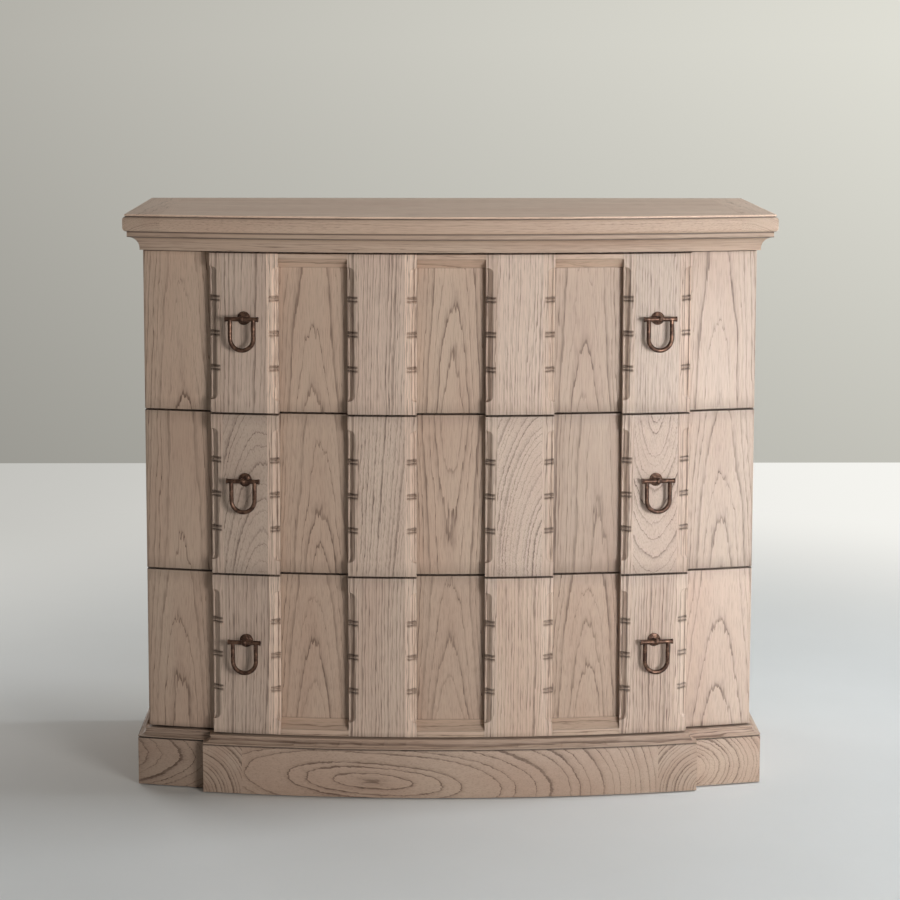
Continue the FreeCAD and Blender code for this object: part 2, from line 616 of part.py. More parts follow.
def make_pull(drawer, hand):
    """A pull: a round plate with a ball on a post, a cross bar through the ball, and a bail."""
    name = f"{drawer}_{hand}"
    height = f"{drawer}_front_z + {drawer}_front_height / 2 + pull_rise"
    rim = solid("Part::Cylinder", f"{name}_rim", ("0", "0", "0"), TO_FRONT, Radius="rosette_radius",
                Height="rosette_rim")
    dome = solid("Part::Cone", f"{name}_dome", ("0", "-rosette_rim", "0"), TO_FRONT,
                 Radius1="rosette_radius", Radius2="post_radius", Height="rosette_dome")
    post = solid("Part::Cylinder", f"{name}_post", ("0", "0", "0"), TO_FRONT, Radius="post_radius",
                 Height="bar_reach")
    ball = solid("Part::Sphere", f"{name}_ball", ("0", "-bar_reach", "0"), Radius="ball_radius")
    bore = solid("Part::Cylinder", f"{name}_bore", ("-bar_length / 2", "-bar_reach", "0"), TO_RIGHT,
                 Radius="bar_radius + bar_clearance", Height="bar_length")
    seat = solid("Part::Cylinder", f"{name}_seat", ("0", "cut_overrun", "0"), TO_FRONT,
                 Radius="bolt_radius + bar_clearance", Height="cut_overrun + bolt_bite + bar_clearance")
    body = cut(f"{name}_base", fuse(f"{name}_casting", rim, dome, post, ball),
               group(f"{name}_bores", bore, seat))
    node(f"{name}_pull_base", pull_place(body, hand, height))
    bar = solid("Part::Cylinder", f"{name}_rod", ("-bar_length / 2", "-bar_reach", "0"), TO_RIGHT,
                Radius="bar_radius", Height="bar_length")
    flares = []
    for end, side, rotation in (("right", "1", TO_RIGHT), ("left", "-1", TO_LEFT)):
        start = f"{side} * (bar_length / 2 - bar_flare_length)"
        flares.append(solid("Part::Cone", f"{name}_flare_{end}", (start, "-bar_reach", "0"), rotation,
                            Radius1="bar_radius", Radius2="bar_flare", Height="bar_flare_length"))
    node(f"{name}_pull_bar", pull_place(fuse(f"{name}_bar", bar, *flares), hand, height))
    legs = []
    for end, side in HANDS.items():
        legs.append(solid("Part::Cylinder", f"{name}_leg_{end}",
                          (f"{side} * bail_half_span", "-bar_reach", "-bail_leg"),
                          Radius="bail_wire_radius", Height="bail_leg"))
    bend = solid("Part::Torus", f"{name}_bend", ("0", "-bar_reach", "-bail_leg"), TO_LOWER,
                 Radius1="bail_half_span", Radius2="bail_wire_radius", Angle3="180")
    bail = cut(f"{name}_bail", fuse(f"{name}_wire", bend, *legs), bar)
    node(f"{name}_pull_bail", pull_place(bail, hand, height))


def make_bolts(drawer):
    """The bolts that hold a drawer's two pulls from inside the box."""
    height = f"{drawer}_front_z + {drawer}_front_height / 2 + pull_rise"
    bolts = []
    for hand in HANDS:
        name = f"{drawer}_bolt_{hand}"
        wall = "front_thickness + block_rise + bar_clearance"
        shank = solid("Part::Cylinder", f"{name}_shank", ("0", wall, "0"), TO_FRONT, Radius="bolt_radius",
                      Height=f"{wall} + bolt_bite")
        head = solid("Part::Cylinder", f"{name}_head", ("0", f"{wall} + bolt_head_height", "0"), TO_FRONT,
                     Radius="bolt_head_radius", Height="bolt_head_height")
        bolts.append(pull_place(fuse(name, shank, head), hand, height))
    node(f"{drawer}_pull_bolts", group(f"{drawer}_pull_bolts", *bolts))


make_top()
make_cornice()
make_plinth()
make_case()
make_runners()
edge_cutter = make_edge_cutter()
for drawer in DRAWERS:
    make_front(drawer, edge_cutter)
    make_box(drawer)
    for hand in HANDS:
        make_pull(drawer, hand)
    make_bolts(drawer)
doc.recompute()

for thing in doc.Objects:
    if "Invalid" in thing.State or "Error" in thing.State:
        raise SystemExit(f"{thing.Name} did not build: {thing.State}")
for thing in nodes:
    if thing.Shape.isNull() or not thing.Shape.isValid() or not thing.Shape.Solids:
        raise SystemExit(f"{thing.Label} has no valid solid")
os.makedirs("parts", exist_ok=True)
for thing in nodes:
    thing.Shape.exportStep(f"parts/{thing.Label}.step")
print(f"{len(nodes)} nodes, {sum(len(thing.Shape.Solids) for thing in nodes)} solids")
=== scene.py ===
"""Looks of a bow-fronted chest: carved block drawer fronts in pale greyed oak, dark bronze pulls.

All lengths are metres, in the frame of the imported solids: X to the right, -Y to the front, Z up.
"""

import json
import logging
import math
from dataclasses import dataclass, field, replace
from enum import Enum
from typing import NamedTuple, Optional, Union

import bmesh
import bpy
import numpy as np
from mathutils import Euler, Matrix, Vector

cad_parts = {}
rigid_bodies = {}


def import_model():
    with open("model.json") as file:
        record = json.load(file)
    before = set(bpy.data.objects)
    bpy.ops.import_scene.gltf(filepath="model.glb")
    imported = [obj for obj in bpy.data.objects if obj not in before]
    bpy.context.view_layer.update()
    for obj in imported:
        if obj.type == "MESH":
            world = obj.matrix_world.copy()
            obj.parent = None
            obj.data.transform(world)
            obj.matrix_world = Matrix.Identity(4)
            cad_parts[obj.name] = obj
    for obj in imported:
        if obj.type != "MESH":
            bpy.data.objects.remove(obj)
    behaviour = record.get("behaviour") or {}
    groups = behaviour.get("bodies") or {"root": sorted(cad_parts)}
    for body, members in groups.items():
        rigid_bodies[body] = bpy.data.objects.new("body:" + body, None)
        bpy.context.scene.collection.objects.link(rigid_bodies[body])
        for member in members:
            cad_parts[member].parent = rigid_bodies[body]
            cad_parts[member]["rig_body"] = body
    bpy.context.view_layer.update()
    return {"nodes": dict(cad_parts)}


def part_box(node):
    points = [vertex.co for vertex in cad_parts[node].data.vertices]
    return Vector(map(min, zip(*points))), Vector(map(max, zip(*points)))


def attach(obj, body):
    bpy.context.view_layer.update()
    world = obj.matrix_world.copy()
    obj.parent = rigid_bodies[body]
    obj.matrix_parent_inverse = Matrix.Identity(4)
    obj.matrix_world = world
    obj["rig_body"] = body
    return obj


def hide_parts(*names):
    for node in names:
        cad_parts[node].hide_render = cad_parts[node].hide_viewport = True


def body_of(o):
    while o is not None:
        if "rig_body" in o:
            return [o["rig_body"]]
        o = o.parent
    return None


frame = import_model()

LOG = logging.getLogger("block_front_chest")

# Points that lie closer together than this are one point.
WELD = 1e-6
# How far the centre of the bow lies behind the middle of the chest.
BOW_AXIS = 1.86845
# Heights of the creases under the slab, under the cornice's fillet and under the plinth's moulding.
SLAB_FOOT = 0.9325
FILLET_FOOT = 0.9235
PLINTH_GROOVE = 0.0821

Colour = tuple[int, int, int]
Span = tuple[float, float]
Triple = tuple[float, float, float]
Stops = tuple[Span, ...]
Material = bpy.types.Material
Socket = bpy.types.NodeSocket
Feed = Union[Socket, float]


def linear(colour: Colour) -> tuple[float, float, float, float]:
    """The colour as a shader socket takes it, by the usual curve of a screen.

    Args:
        colour: red, green and blue as a screen shows them, 0 to 255.

    Returns:
        Linear red, green, blue and a full alpha.
    """
    shares = (channel / 255.0 for channel in colour)
    red, green, blue = (s / 12.92 if s <= 0.04045 else ((s + 0.055) / 1.055) ** 2.4 for s in shares)
    return red, green, blue, 1.0


class Nodes:
    """A node tree, with short calls for the few kinds of node that the chest and the studio need."""

    def __init__(self, tree: bpy.types.NodeTree) -> None:
        """Takes over a tree and empties it.

        Args:
            tree: of a material or of the world.
        """
        self.tree = tree
        self.tree.nodes.clear()

    def new(self, kind: str) -> bpy.types.Node:
        """Adds a node, by Blender's name for its kind."""
        return self.tree.nodes.new(kind)

    def feed(self, socket: Socket, value: Union[Feed, tuple[float, ...]]) -> None:
        """Links an output to a socket, or sets a plain value on it.

        Args:
            socket: an input.
            value: an output or a plain value.
        """
        if isinstance(value, bpy.types.NodeSocket):
            self.tree.links.new(value, socket)
        else:
            socket.default_value = value

    def math(self, operation: str, first: Feed, second: Feed = 0.0, third: Feed = 0.0) -> Socket:
        """One sum or product.

        Args:
            operation: Blender's name for it.
            first: first number.
            second: second number, where it has one.
            third: third number, where it has one.

        Returns:
            The result's output.
        """
        node = self.new("ShaderNodeMath")
        node.operation = operation
        for socket, value in zip(node.inputs, (first, second, third)):
            self.feed(socket, value)
        return node.outputs["Value"]

    def distance(self, first: Socket, second: Socket) -> Socket:
        """How far two lengths at right angles to each other reach together.

        Args:
            first: one length.
            second: the other.

        Returns:
            The distance's output.
        """
        squares = self.math("MULTIPLY_ADD", first, first, self.math("MULTIPLY", second, second))
        return self.math("SQRT", squares)

    def separate(self, vector: Socket) -> tuple[Socket, Socket, Socket]:
        """Takes a vector apart.

        Args:
            vector: its output.

        Returns:
            Outputs of its three parts.
        """
        node = self.new("ShaderNodeSeparateXYZ")
        self.feed(node.inputs["Vector"], vector)
        return node.outputs["X"], node.outputs["Y"], node.outputs["Z"]

    def combine(self, first: Feed, second: Feed, third: Feed) -> Socket:
        """Puts a vector together.

        Args:
            first: first part.
            second: second part.
            third: third part.

        Returns:
            The vector's output.
        """
        node = self.new("ShaderNodeCombineXYZ")
        for socket, value in zip(node.inputs, (first, second, third)):
            self.feed(socket, value)
        return node.outputs["Vector"]

    def carried(self, name: str, kind: str) -> Socket:
        """What a mesh carries under a name.

        Args:
            name: of the attribute.
            kind: the output that is read, Vector or Fac.

        Returns:
            That output, which is 0 where a mesh carries nothing.
        """
        node = self.new("ShaderNodeAttribute")
        node.attribute_name = name
        return node.outputs[kind]

    def vector(self, name: str) -> Socket:
        """A vector that the mesh carries under that name."""
        return self.carried(name, "Vector")

    def amount(self, name: str) -> Socket:
        """A number that the mesh carries under that name."""
        return self.carried(name, "Fac")

    def place(self) -> Socket:
        """Where a point lies in the chest's frame."""
        return self.new("ShaderNodeTexCoord").outputs["Object"]

    def noise(self, vector: Socket, waves: Triple, detail: float = 2.0) -> Socket:
        """Soft noise between about 0.25 and 0.75.

        Args:
            vector: where the noise is read.
            waves: per metre along each part of the vector.
            detail: how many finer layers are added.

        Returns:
            The noise's output.
        """
        scaled = self.new("ShaderNodeVectorMath")
        scaled.operation = "MULTIPLY"
        self.feed(scaled.inputs[0], vector)
        self.feed(scaled.inputs[1], waves)
        node = self.new("ShaderNodeTexNoise")
        self.feed(node.inputs["Scale"], 1.0)
        self.feed(node.inputs["Detail"], detail)
        self.feed(node.inputs["Vector"], scaled.outputs["Vector"])
        return node.outputs["Fac"]

    def wave(self, noise: Socket, height: Feed) -> Socket:
        """Noise turned into a swing of about that height to both sides of 0."""
        return self.math("MULTIPLY", self.math("MULTIPLY_ADD", noise, 4.0, -2.0), height)

    def ramp(self, value: Socket, *stops: Span) -> Socket:
        """A curve through a few points.

        Args:
            value: what is looked up, 0 to 1.
            stops: pairs of place and result.

        Returns:
            The result's output.
        """
        node = self.new("ShaderNodeValToRGB")
        marks = node.color_ramp.elements
        while len(marks) < len(stops):
            marks.new(1.0)
        for mark, (place, result) in zip(marks, stops):
            mark.position = place
            mark.color = (result, result, result, 1.0)
        self.feed(node.inputs["Fac"], value)
        return node.outputs["Color"]

    def reach(self, value: Socket, span: Span, result: Span = (0.0, 1.0), eased: bool = True) -> Socket:
        """How far a value has come from one number to another.

        Args:
            value: its output.
            span: the two numbers.
            result: what stands for the first number and for the second.
            eased: whether the result starts and stops softly.

        Returns:
            The result's output, which stays between its own two numbers.
        """
        node = self.new("ShaderNodeMapRange")
        node.interpolation_type = "SMOOTHSTEP" if eased else "LINEAR"
        for name, number in zip(("From Min", "From Max", "To Min", "To Max"), span + result):
            self.feed(node.inputs[name], number)
        self.feed(node.inputs["Value"], value)
        return node.outputs["Result"]

    def blend(self, share: Socket, first: Feed, second: Feed) -> Socket:
        """One number fading into another.

        Args:
            share: how much of the second number counts.
            first: number or output.
            second: number or output.

        Returns:
            The blended number's output.
        """
        rest = self.math("SUBTRACT", 1.0, share)
        return self.math("ADD", self.math("MULTIPLY", share, second), self.math("MULTIPLY", rest, first))

    def mix(self, share: Feed, first: Union[Socket, Colour], second: Union[Socket, Colour]) -> Socket:
        """One colour fading into another.

        Args:
            share: how much of the second colour shows.
            first: colour or output.
            second: colour or output.

        Returns:
            The mixed colour's output.
        """
        node = self.new("ShaderNodeMix")
        node.data_type = "RGBA"
        self.feed(node.inputs["Factor"], share)
        for name, value in (("A", first), ("B", second)):
            socket = next(s for s in node.inputs if s.name == name and s.type == "RGBA")
            self.feed(socket, value if isinstance(value, bpy.types.NodeSocket) else linear(value))
        return next(s for s in node.outputs if s.type == "RGBA")

    def brighten(self, colour: Socket, times: Feed, strength: Feed = 1.0) -> Socket:
        """A colour made lighter or darker, and greyer or stronger.

        Args:
            colour: its output.
            times: how much lighter.
            strength: how much stronger.

        Returns:
            The new colour's output.
        """
        node = self.new("ShaderNodeHueSaturation")
        self.feed(node.inputs["Value"], times)
        self.feed(node.inputs["Saturation"], strength)
        self.feed(node.inputs["Color"], colour)
        return node.outputs["Color"]

    def scale(self, vector: Socket, times: Socket) -> Socket:
        """A vector or a colour times a number.

        Args:
            vector: its output.
            times: output of the number.

        Returns:
            The result's output.
        """
        node = self.new("ShaderNodeVectorMath")
        node.operation = "SCALE"
        self.feed(node.inputs[0], vector)
        self.feed(node.inputs["Scale"], times)
        return node.outputs["Vector"]

    def seen_plainly(self) -> Socket:
        """Whether a ray comes from the camera, or from metal or glass that shows what the camera would see.

        Returns:
            An output that is 1 for such a ray and 0 for light.
        """
        rays = self.new("ShaderNodeLightPath").outputs
        seen = self.math("MAXIMUM", rays["Is Camera Ray"], rays["Is Glossy Ray"])
        return self.math("MAXIMUM", seen, rays["Is Transmission Ray"])

    def cover(self, share: Socket, under: Socket, over: Socket) -> Socket:
        """Lays one shader over another.

        Args:
            share: how much of the upper one shows.
            under: output of the lower one.
            over: output of the upper one.

        Returns:
            The mixed shader's output.
        """
        node = self.new("ShaderNodeMixShader")
        for socket, value in zip(node.inputs, (share, under, over)):
            self.feed(socket, value)
        return node.outputs["Shader"]


class Surface(Nodes):
    """A material's nodes, round one surface shader."""

    def __init__(self, name: str) -> None:
        """Starts a material with a bare shader.

        Args:
            name: of the material.
        """
        self.material = bpy.data.materials.new(name)
        self.material.use_nodes = True
        super().__init__(self.material.node_tree)
        self.shader = self.new("ShaderNodeBsdfPrincipled")
        self.output = self.new("ShaderNodeOutputMaterial")
        self.feed(self.output.inputs["Surface"], self.shader.outputs["BSDF"])

    def dress(self, name: str, value: Feed) -> None:
        """Gives one of the shader's inputs an output or a number."""
        self.feed(self.shader.inputs[name], value)

    def bump(self, height: Socket, depth: float, strength: float) -> None:
        """Relief on the surface.

        Args:
            height: output that holds the relief, 0 to 1.
            depth: metres from its lowest to its highest point.
            strength: how much of it shows.
        """
        node = self.new("ShaderNodeBump")
        self.feed(node.inputs["Distance"], depth)
        self.feed(node.inputs["Strength"], strength)
        self.feed(node.inputs["Height"], height)
        self.dress("Normal", node.outputs["Normal"])

    def veil(self, share: Socket, colour: Socket) -> None:
        """Lays a plain colour over the surface, as far as the camera sees it.

        Args:
            share: how much of it shows.
            colour: its output.
        """
        glow = self.new("ShaderNodeEmission")
        self.feed(glow.inputs["Color"], colour)
        shown = self.math("MULTIPLY", share, self.seen_plainly())
        covered = self.cover(shown, self.shader.outputs["BSDF"], glow.outputs["Emission"])
        self.feed(self.output.inputs["Surface"], covered)


class Axis(Enum):
    """An axis of the chest's frame, by its place in a vector."""

    X = 0
    Y = 1
    Z = 2


class Slot(Enum):
    """A slot of the record's materials."""

    FACE = "oak_face"
    INNER = "oak_inner"


class Tier(Enum):
    """One of the three drawers."""

    BOTTOM = "bottom"
    MIDDLE = "middle"
    TOP = "top"


class Hand(Enum):
    """Which of a drawer's two pulls."""

    LEFT = "left"
    RIGHT = "right"


@dataclass(frozen=True)
class Sawing:
    """How a solid board lay in its log.

    The heart of the tree runs along the board, and the rings are measured from it. A bent board follows the
    bow, and its depth is measured as if it lay straight again. In a matched pair, depth is measured outwards
    from the middle of the chest on both sides.
    """

    along: Axis
    across: Axis
    depth: Axis
    heart_across: float = 0.0
    heart_depth: float = 0.0
    lean: float = 0.0
    bent: bool = False
    pair: bool = False

    def coordinates(self, graph: Nodes) -> Socket:
        """Where a point lies in the log: across, depth and along.

        Args:
            graph: the material that asks.

        Returns:
            A vector output.
        """
        parts = graph.separate(graph.place())
        along = parts[self.along.value]
        across = graph.math("SUBTRACT", parts[self.across.value], self.heart_across)
        depth = parts[self.depth.value]
        if self.bent:
            back = graph.math("SUBTRACT", depth, BOW_AXIS)
            depth = graph.math("SUBTRACT", BOW_AXIS, graph.distance(back, along))
        if self.pair:
            depth = graph.math("ABSOLUTE", depth)
        depth = graph.math("SUBTRACT", depth, self.heart_depth)
        return graph.combine(across, graph.math("MULTIPLY_ADD", along, self.lean, depth), along)


@dataclass(frozen=True)
class PlinthSheets:
    """Veneer in three sheets: a long one with rings round an eye, and two with rings round their corners.

    The rings of the long sheet close faster the farther they are from the eye.
    """

    eye: float = -0.130
    eye_height: float = 0.029
    eye_round: float = 0.012
    fall: float = -0.055
    spread: float = 0.2176
    crowd: float = 2.25
    crowd_power: float = 4.0
    joint: float = 0.345
    corner: float = 0.432
    corner_times: float = 1.75

    def coordinates(self, graph: Nodes) -> Socket:
        """Where a point lies in the log of its own sheet: across, depth and along.

        Args:
            graph: the material that asks.

        Returns:
            A vector output.
        """
        run, _, height = graph.separate(graph.place())
        from_eye = graph.math("SUBTRACT", run, self.eye)
        eased = graph.math("SQRT", graph.math("MULTIPLY_ADD", from_eye, from_eye, self.eye_round ** 2))
        away = graph.math("SUBTRACT", eased, self.eye_round)
        crowded = graph.math("MULTIPLY", graph.math("POWER", away, self.crowd_power), self.crowd)
        depth = graph.math("MULTIPLY_ADD", away, self.spread, crowded)
        sunk = graph.math("MULTIPLY_ADD", from_eye, -self.fall, height)
        across = graph.math("SUBTRACT", sunk, self.eye_height)
        outwards = graph.math("ABSOLUTE", run)
        end_across = graph.math("MULTIPLY", graph.math("SUBTRACT", outwards, self.corner), self.corner_times)
        end_depth = graph.math("MULTIPLY", height, self.corner_times)
        at_end = graph.math("GREATER_THAN", outwards, self.joint)
        across = graph.blend(at_end, across, end_across)
        return graph.combine(across, graph.blend(at_end, depth, end_depth), run)


@dataclass(frozen=True)
class OakPattern:
    """How oak is drawn in every finish.

    Waves are per metre across the log, into it and along it; those of uneven and year are per ring and per
    metre along it. Stops are pairs of a noise's level and the share that its pattern has there, and those of
    early are by distance into the ring. Shades are added to the tone where the painted shade, in creases,
    grooves, gaps and joints, or the wear and the painted highlight is full.
    """

    pore_waves: Triple = (900.0, 900.0, 26.0)
    pore_stops: Stops = ((0.50, 0.0), (0.66, 1.0))
    pores_early: float = 0.6
    pores_late: float = 0.22
    tint_waves: Triple = (14.0, 14.0, 3.0)
    tint_stops: Stops = ((0.35, 0.0), (0.68, 1.0))
    tint_share: float = 0.7
    fibre_waves: Triple = (260.0, 260.0, 3.5)
    fibre_swing: float = 0.035
    drift_waves: Triple = (11.0, 11.0, 4.5)
    shake_waves: Triple = (70.0, 70.0, 12.0)
    shake_swing: float = 0.0008
    fray_waves: Triple = (340.0, 340.0, 22.0)
    fray_swing: float = 0.0011
    flattest_fray: float = 0.42
    flattest_cut: float = 0.28
    uneven_waves: Triple = (0.55, 1.0, 1.0)
    uneven_swing: float = 0.6
    early_stops: Stops = ((0.0, 0.35), (0.04, 1.0), (0.17, 0.9), (0.26, 0.3), (0.5, 0.1), (0.9, 0.0))
    year_waves: Triple = (1.9, 1.2, 1.0)
    year_levels: Span = (0.34, 0.6)
    patch_waves: Triple = (60.0, 60.0, 14.0)
    patch_stops: Stops = ((0.32, 0.58), (0.6, 1.0))
    # Painted shade in creases, grooves, gaps and joints darkens the tone by this much; wear and the painted
    # highlight lighten it by the next.
    painted_shade_darkening: float = -0.62
    wear_and_highlight_lift: float = 0.06
    roughness: float = 0.52
    pore_roughness: float = 0.25
    gloss: float = 0.35
    early_relief: float = -0.35
    pore_relief: float = -0.55
    relief_depth: float = 0.00045
    relief_share: float = 0.45
    moulding_across: float = 0.1
    moulding_depth: float = 0.03


@dataclass(frozen=True)
class OakFinish:
    """Pale greyed oak: rings with dark pored early wood, fine pores everywhere, matt oil.

    Without a sawing, the mesh carries its own place in the log, tone and contrast. joints are the heights at
    which painted shade darkens a joint or a crease, and how far it reaches to either side. Above moulding, a
    straight-grained moulding sits on the board.
    """

    name: str
    sawing: Union[Sawing, PlinthSheets, None] = None
    pale: Colour = (201, 175, 154)
    rosy: Colour = (192, 161, 140)
    line: Colour = (118, 93, 78)
    pore: Colour = (104, 82, 68)
    ring: float = 0.007
    wander: float = 0.0022
    contrast: float = 0.85
    faintest: float = 0.38
    early: float = 0.006
    tone: float = 1.0
    strength: float = 1.0
    joints: Stops = ()
    moulding: Optional[float] = None
    pattern: OakPattern = OakPattern()

    def material(self) -> Material:
        """Builds the finish.

        Returns:
            The material.
        """
        graph = Surface(self.name)
        oak = self.pattern
        tone, strength, ring, contrast = self.tone, self.strength, self.ring, self.contrast
        if self.sawing is None:
            grain = graph.vector("grain")
            contrast = graph.amount("contrast")
            tone, strength, ring = graph.separate(graph.vector("dressing"))
        else:
            grain = self.sawing.coordinates(graph)
        if self.moulding is not None:
            grain = self.moulded(graph, grain)
        dark = self.rings(graph, grain, ring)
        pores = graph.ramp(graph.noise(grain, oak.pore_waves), *oak.pore_stops)
        crowd = graph.math("MULTIPLY_ADD", dark, oak.pores_early, oak.pores_late)
        pored = graph.math("MULTIPLY", pores, crowd)
        tint = graph.ramp(graph.noise(grain, oak.tint_waves), *oak.tint_stops)
        colour = graph.mix(graph.math("MULTIPLY", tint, oak.tint_share), self.pale, self.rosy)
        colour = graph.mix(graph.math("MULTIPLY", dark, contrast), colour, self.line)
        colour = graph.mix(pored, colour, self.pore)
        fibre = graph.wave(graph.noise(grain, oak.fibre_waves), oak.fibre_swing)
        level = graph.math("ADD", fibre, tone)
        # Painted shade darkens creases, grooves, gaps between drawers and joints.
        level = graph.math("MULTIPLY_ADD", self.painted_shade(graph), oak.painted_shade_darkening, level)
        # Wear on the arrises, and a painted highlight on the slab's fillet, lighten the tone.
        level = graph.math("MULTIPLY_ADD", graph.amount("wear_and_highlight"), oak.wear_and_highlight_lift, level)
        graph.dress("Base Color", graph.brighten(colour, level, strength))
        graph.dress("Roughness", graph.math("MULTIPLY_ADD", pored, oak.pore_roughness, oak.roughness))
        graph.dress("Specular IOR Level", oak.gloss)
        relief = graph.math("MULTIPLY_ADD", dark, oak.early_relief, 1.0)
        relief = graph.math("MULTIPLY_ADD", pores, oak.pore_relief, relief)
        graph.bump(relief, oak.relief_depth, oak.relief_share)
        return graph.material

    def painted_shade(self, graph: Surface) -> Socket:
        """Painted shade that the mesh carries, or that darkens a joint or a crease.

        Args:
            graph: the material.

        Returns:
            An output that is 1 where the painted shade is full.
        """
        painted_shade = graph.amount("painted_shade")
        height = graph.separate(graph.place())[Axis.Z.value]
        for joint, reach in self.joints:
            away = graph.math("ABSOLUTE", graph.math("SUBTRACT", height, joint))
            painted_shade = graph.math("MAXIMUM", painted_shade, graph.reach(away, (reach, 0.0)))
        return painted_shade

    def moulded(self, graph: Surface, grain: Socket) -> Socket:
        """Lets the grain run level on the moulding above the board.

        Args:
            graph: the material.
            grain: place in the board's log.

        Returns:
            Place in the log of the board or of its moulding.
        """
        across, deep, height = graph.separate(graph.place())
        from_heart = graph.math("ADD", height, self.pattern.moulding_across)
        level = (from_heart, self.pattern.moulding_depth, graph.math("ADD", across, deep))
        above = graph.math("GREATER_THAN", height, self.moulding)
        parts = zip(graph.separate(grain), level)
        return graph.combine(*(graph.blend(above, board, strip) for board, strip in parts))

    def rings(self, graph: Surface, grain: Socket, ring: Feed) -> Socket:
        """The dark early wood of the yearly rings.

        Args:
            graph: the material.
            grain: place in the log.
            ring: width of a ring.

        Returns:
            An output that is 1 in the early wood and 0 between.
        """
        oak = self.pattern
        across, depth, along = graph.separate(grain)
        radius = graph.distance(across, depth)
        drift = graph.wave(graph.noise(grain, oak.drift_waves, 1.0), self.wander)
        shake = graph.wave(graph.noise(grain, oak.shake_waves), oak.shake_swing)
        fray = graph.wave(graph.noise(grain, oak.fray_waves, 1.0), oak.fray_swing)
        slant = graph.math("DIVIDE", graph.math("ABSOLUTE", across), radius)
        frayed = graph.math("MULTIPLY_ADD", fray, graph.math("MAXIMUM", slant, oak.flattest_fray), shake)
        radius = graph.math("ADD", graph.math("ADD", radius, drift), frayed)
        years = graph.math("DIVIDE", radius, ring)
        uneven = graph.noise(graph.combine(years, 0.0, 0.0), oak.uneven_waves, 1.0)
        years = graph.math("ADD", years, graph.wave(uneven, oak.uneven_swing))
        into_ring = graph.math("MULTIPLY", graph.math("FRACT", years), ring)
        early_width = graph.math("MULTIPLY", graph.math("MAXIMUM", slant, oak.flattest_cut), self.early)
        early = graph.ramp(graph.math("DIVIDE", into_ring, early_width), *oak.early_stops)
        year = graph.noise(graph.combine(graph.math("FLOOR", years), along, 0.0), oak.year_waves, 0.0)
        dry, wet = oak.year_levels
        wet_years = graph.ramp(year, (dry, self.faintest), (wet, 1.0))
        patchy = graph.ramp(graph.noise(grain, oak.patch_waves), *oak.patch_stops)
        return graph.math("MULTIPLY", graph.math("MULTIPLY", early, wet_years), patchy)


@dataclass(frozen=True)
class BronzeFinish:
    """Dark oil-rubbed bronze, redder where hands have rubbed it, with fine or pitted relief."""

    name: str
    dark: Colour = (66, 47, 38)
    rubbed: Colour = (114, 86, 71)
    patch_waves: Triple = (160.0, 160.0, 160.0)
    patch_stops: Stops = ((0.42, 0.0), (0.7, 1.0))
    metallic: float = 0.85
    roughness: float = 0.44
    rubbed_roughness: float = -0.12
    relief_waves: float = 900.0
    relief_depth: float = 0.0003
    relief_share: float = 0.35

    def material(self) -> Material:
        """Builds the finish.

        Returns:
            The material.
        """
        graph = Surface(self.name)
        place = graph.place()
        patches = graph.ramp(graph.noise(place, self.patch_waves, 3.0), *self.patch_stops)
        graph.dress("Base Color", graph.mix(patches, self.dark, self.rubbed))
        graph.dress("Metallic", self.metallic)
        graph.dress("Roughness", graph.math("MULTIPLY_ADD", patches, self.rubbed_roughness, self.roughness))
        relief = graph.noise(place, (self.relief_waves,) * 3, 1.0)
        graph.bump(relief, self.relief_depth, self.relief_share)
        return graph.material


@dataclass(frozen=True)
class CloudyFinish:
    """A plain stuff that is darker and lighter in soft patches, which are its relief too."""

    name: str
    dark: Colour
    light: Colour
    waves: float
    detail: float
    metallic: float
    roughness: float
    light_roughness: float
    relief_depth: float
    relief_share: float

    def material(self) -> Material:
        """Builds the finish.

        Returns:
            The material.
        """
        graph = Surface(self.name)
        cloud = graph.noise(graph.place(), (self.waves,) * 3, self.detail)
        graph.dress("Base Color", graph.mix(cloud, self.dark, self.light))
        graph.dress("Metallic", self.metallic)
        graph.dress("Roughness", graph.math("MULTIPLY_ADD", cloud, self.light_roughness, self.roughness))
        graph.bump(cloud, self.relief_depth, self.relief_share)
        return graph.material


class Figure(Enum):
    """How a sheet of veneer was cut, by what its rings draw on it."""

    ARCH = "arches that point up"
    VALLEY = "arches that point down"
    STRAIGHT = "fine upright lines"
    SWEEP = "lines that slant across"


@dataclass(frozen=True)
class Veneer:
    """One sheet of veneer on a strip, a lipping or a rail.

    nest is how many rings close over the sheet's height, and peak is where one of them does, as a share of
    it. The heart of the log lies deep rings behind the sheet, or for straight lines and sweeps at a set place
    to one side of it. A sheet that lies sideways has level grain, and one that lies edgeways covers an end of
    the front.
    """

    figure: Figure
    peak: float = 0.6
    nest: float = 1.4
    side: float = 0.0
    ring: float = 0.0055
    deep: float = 9.0
    tone: float = 1.0
    strength: float = 1.0
    contrast: float = 0.85
    sideways: bool = False
    edgeways: bool = False
    straight_heart: Triple = (0.09, 0.03, 0.04)
    sweep_heart: Span = (0.045, 0.05)

    def heart(self, height: float) -> Triple:
        """Where the heart of the log lies behind the sheet.

        Args:
            height: of the sheet.

        Returns:
            Its place across the sheet, its depth at mid-height and how fast that grows upwards.
        """
        if self.figure is Figure.STRAIGHT:
            aside, depth, lean = self.straight_heart
            return self.side + aside, depth, lean
        lean = self.nest * self.ring / height
        if self.figure is Figure.SWEEP:
            aside, depth = self.sweep_heart
            return self.side + aside, depth, lean
        if self.figure is Figure.VALLEY:
            lean = -lean
        return self.side, self.deep * self.ring - lean * (self.peak - 0.5) * height, lean


LIPPING = Veneer(Figure.STRAIGHT, ring=0.0055, tone=1.04, strength=0.9)
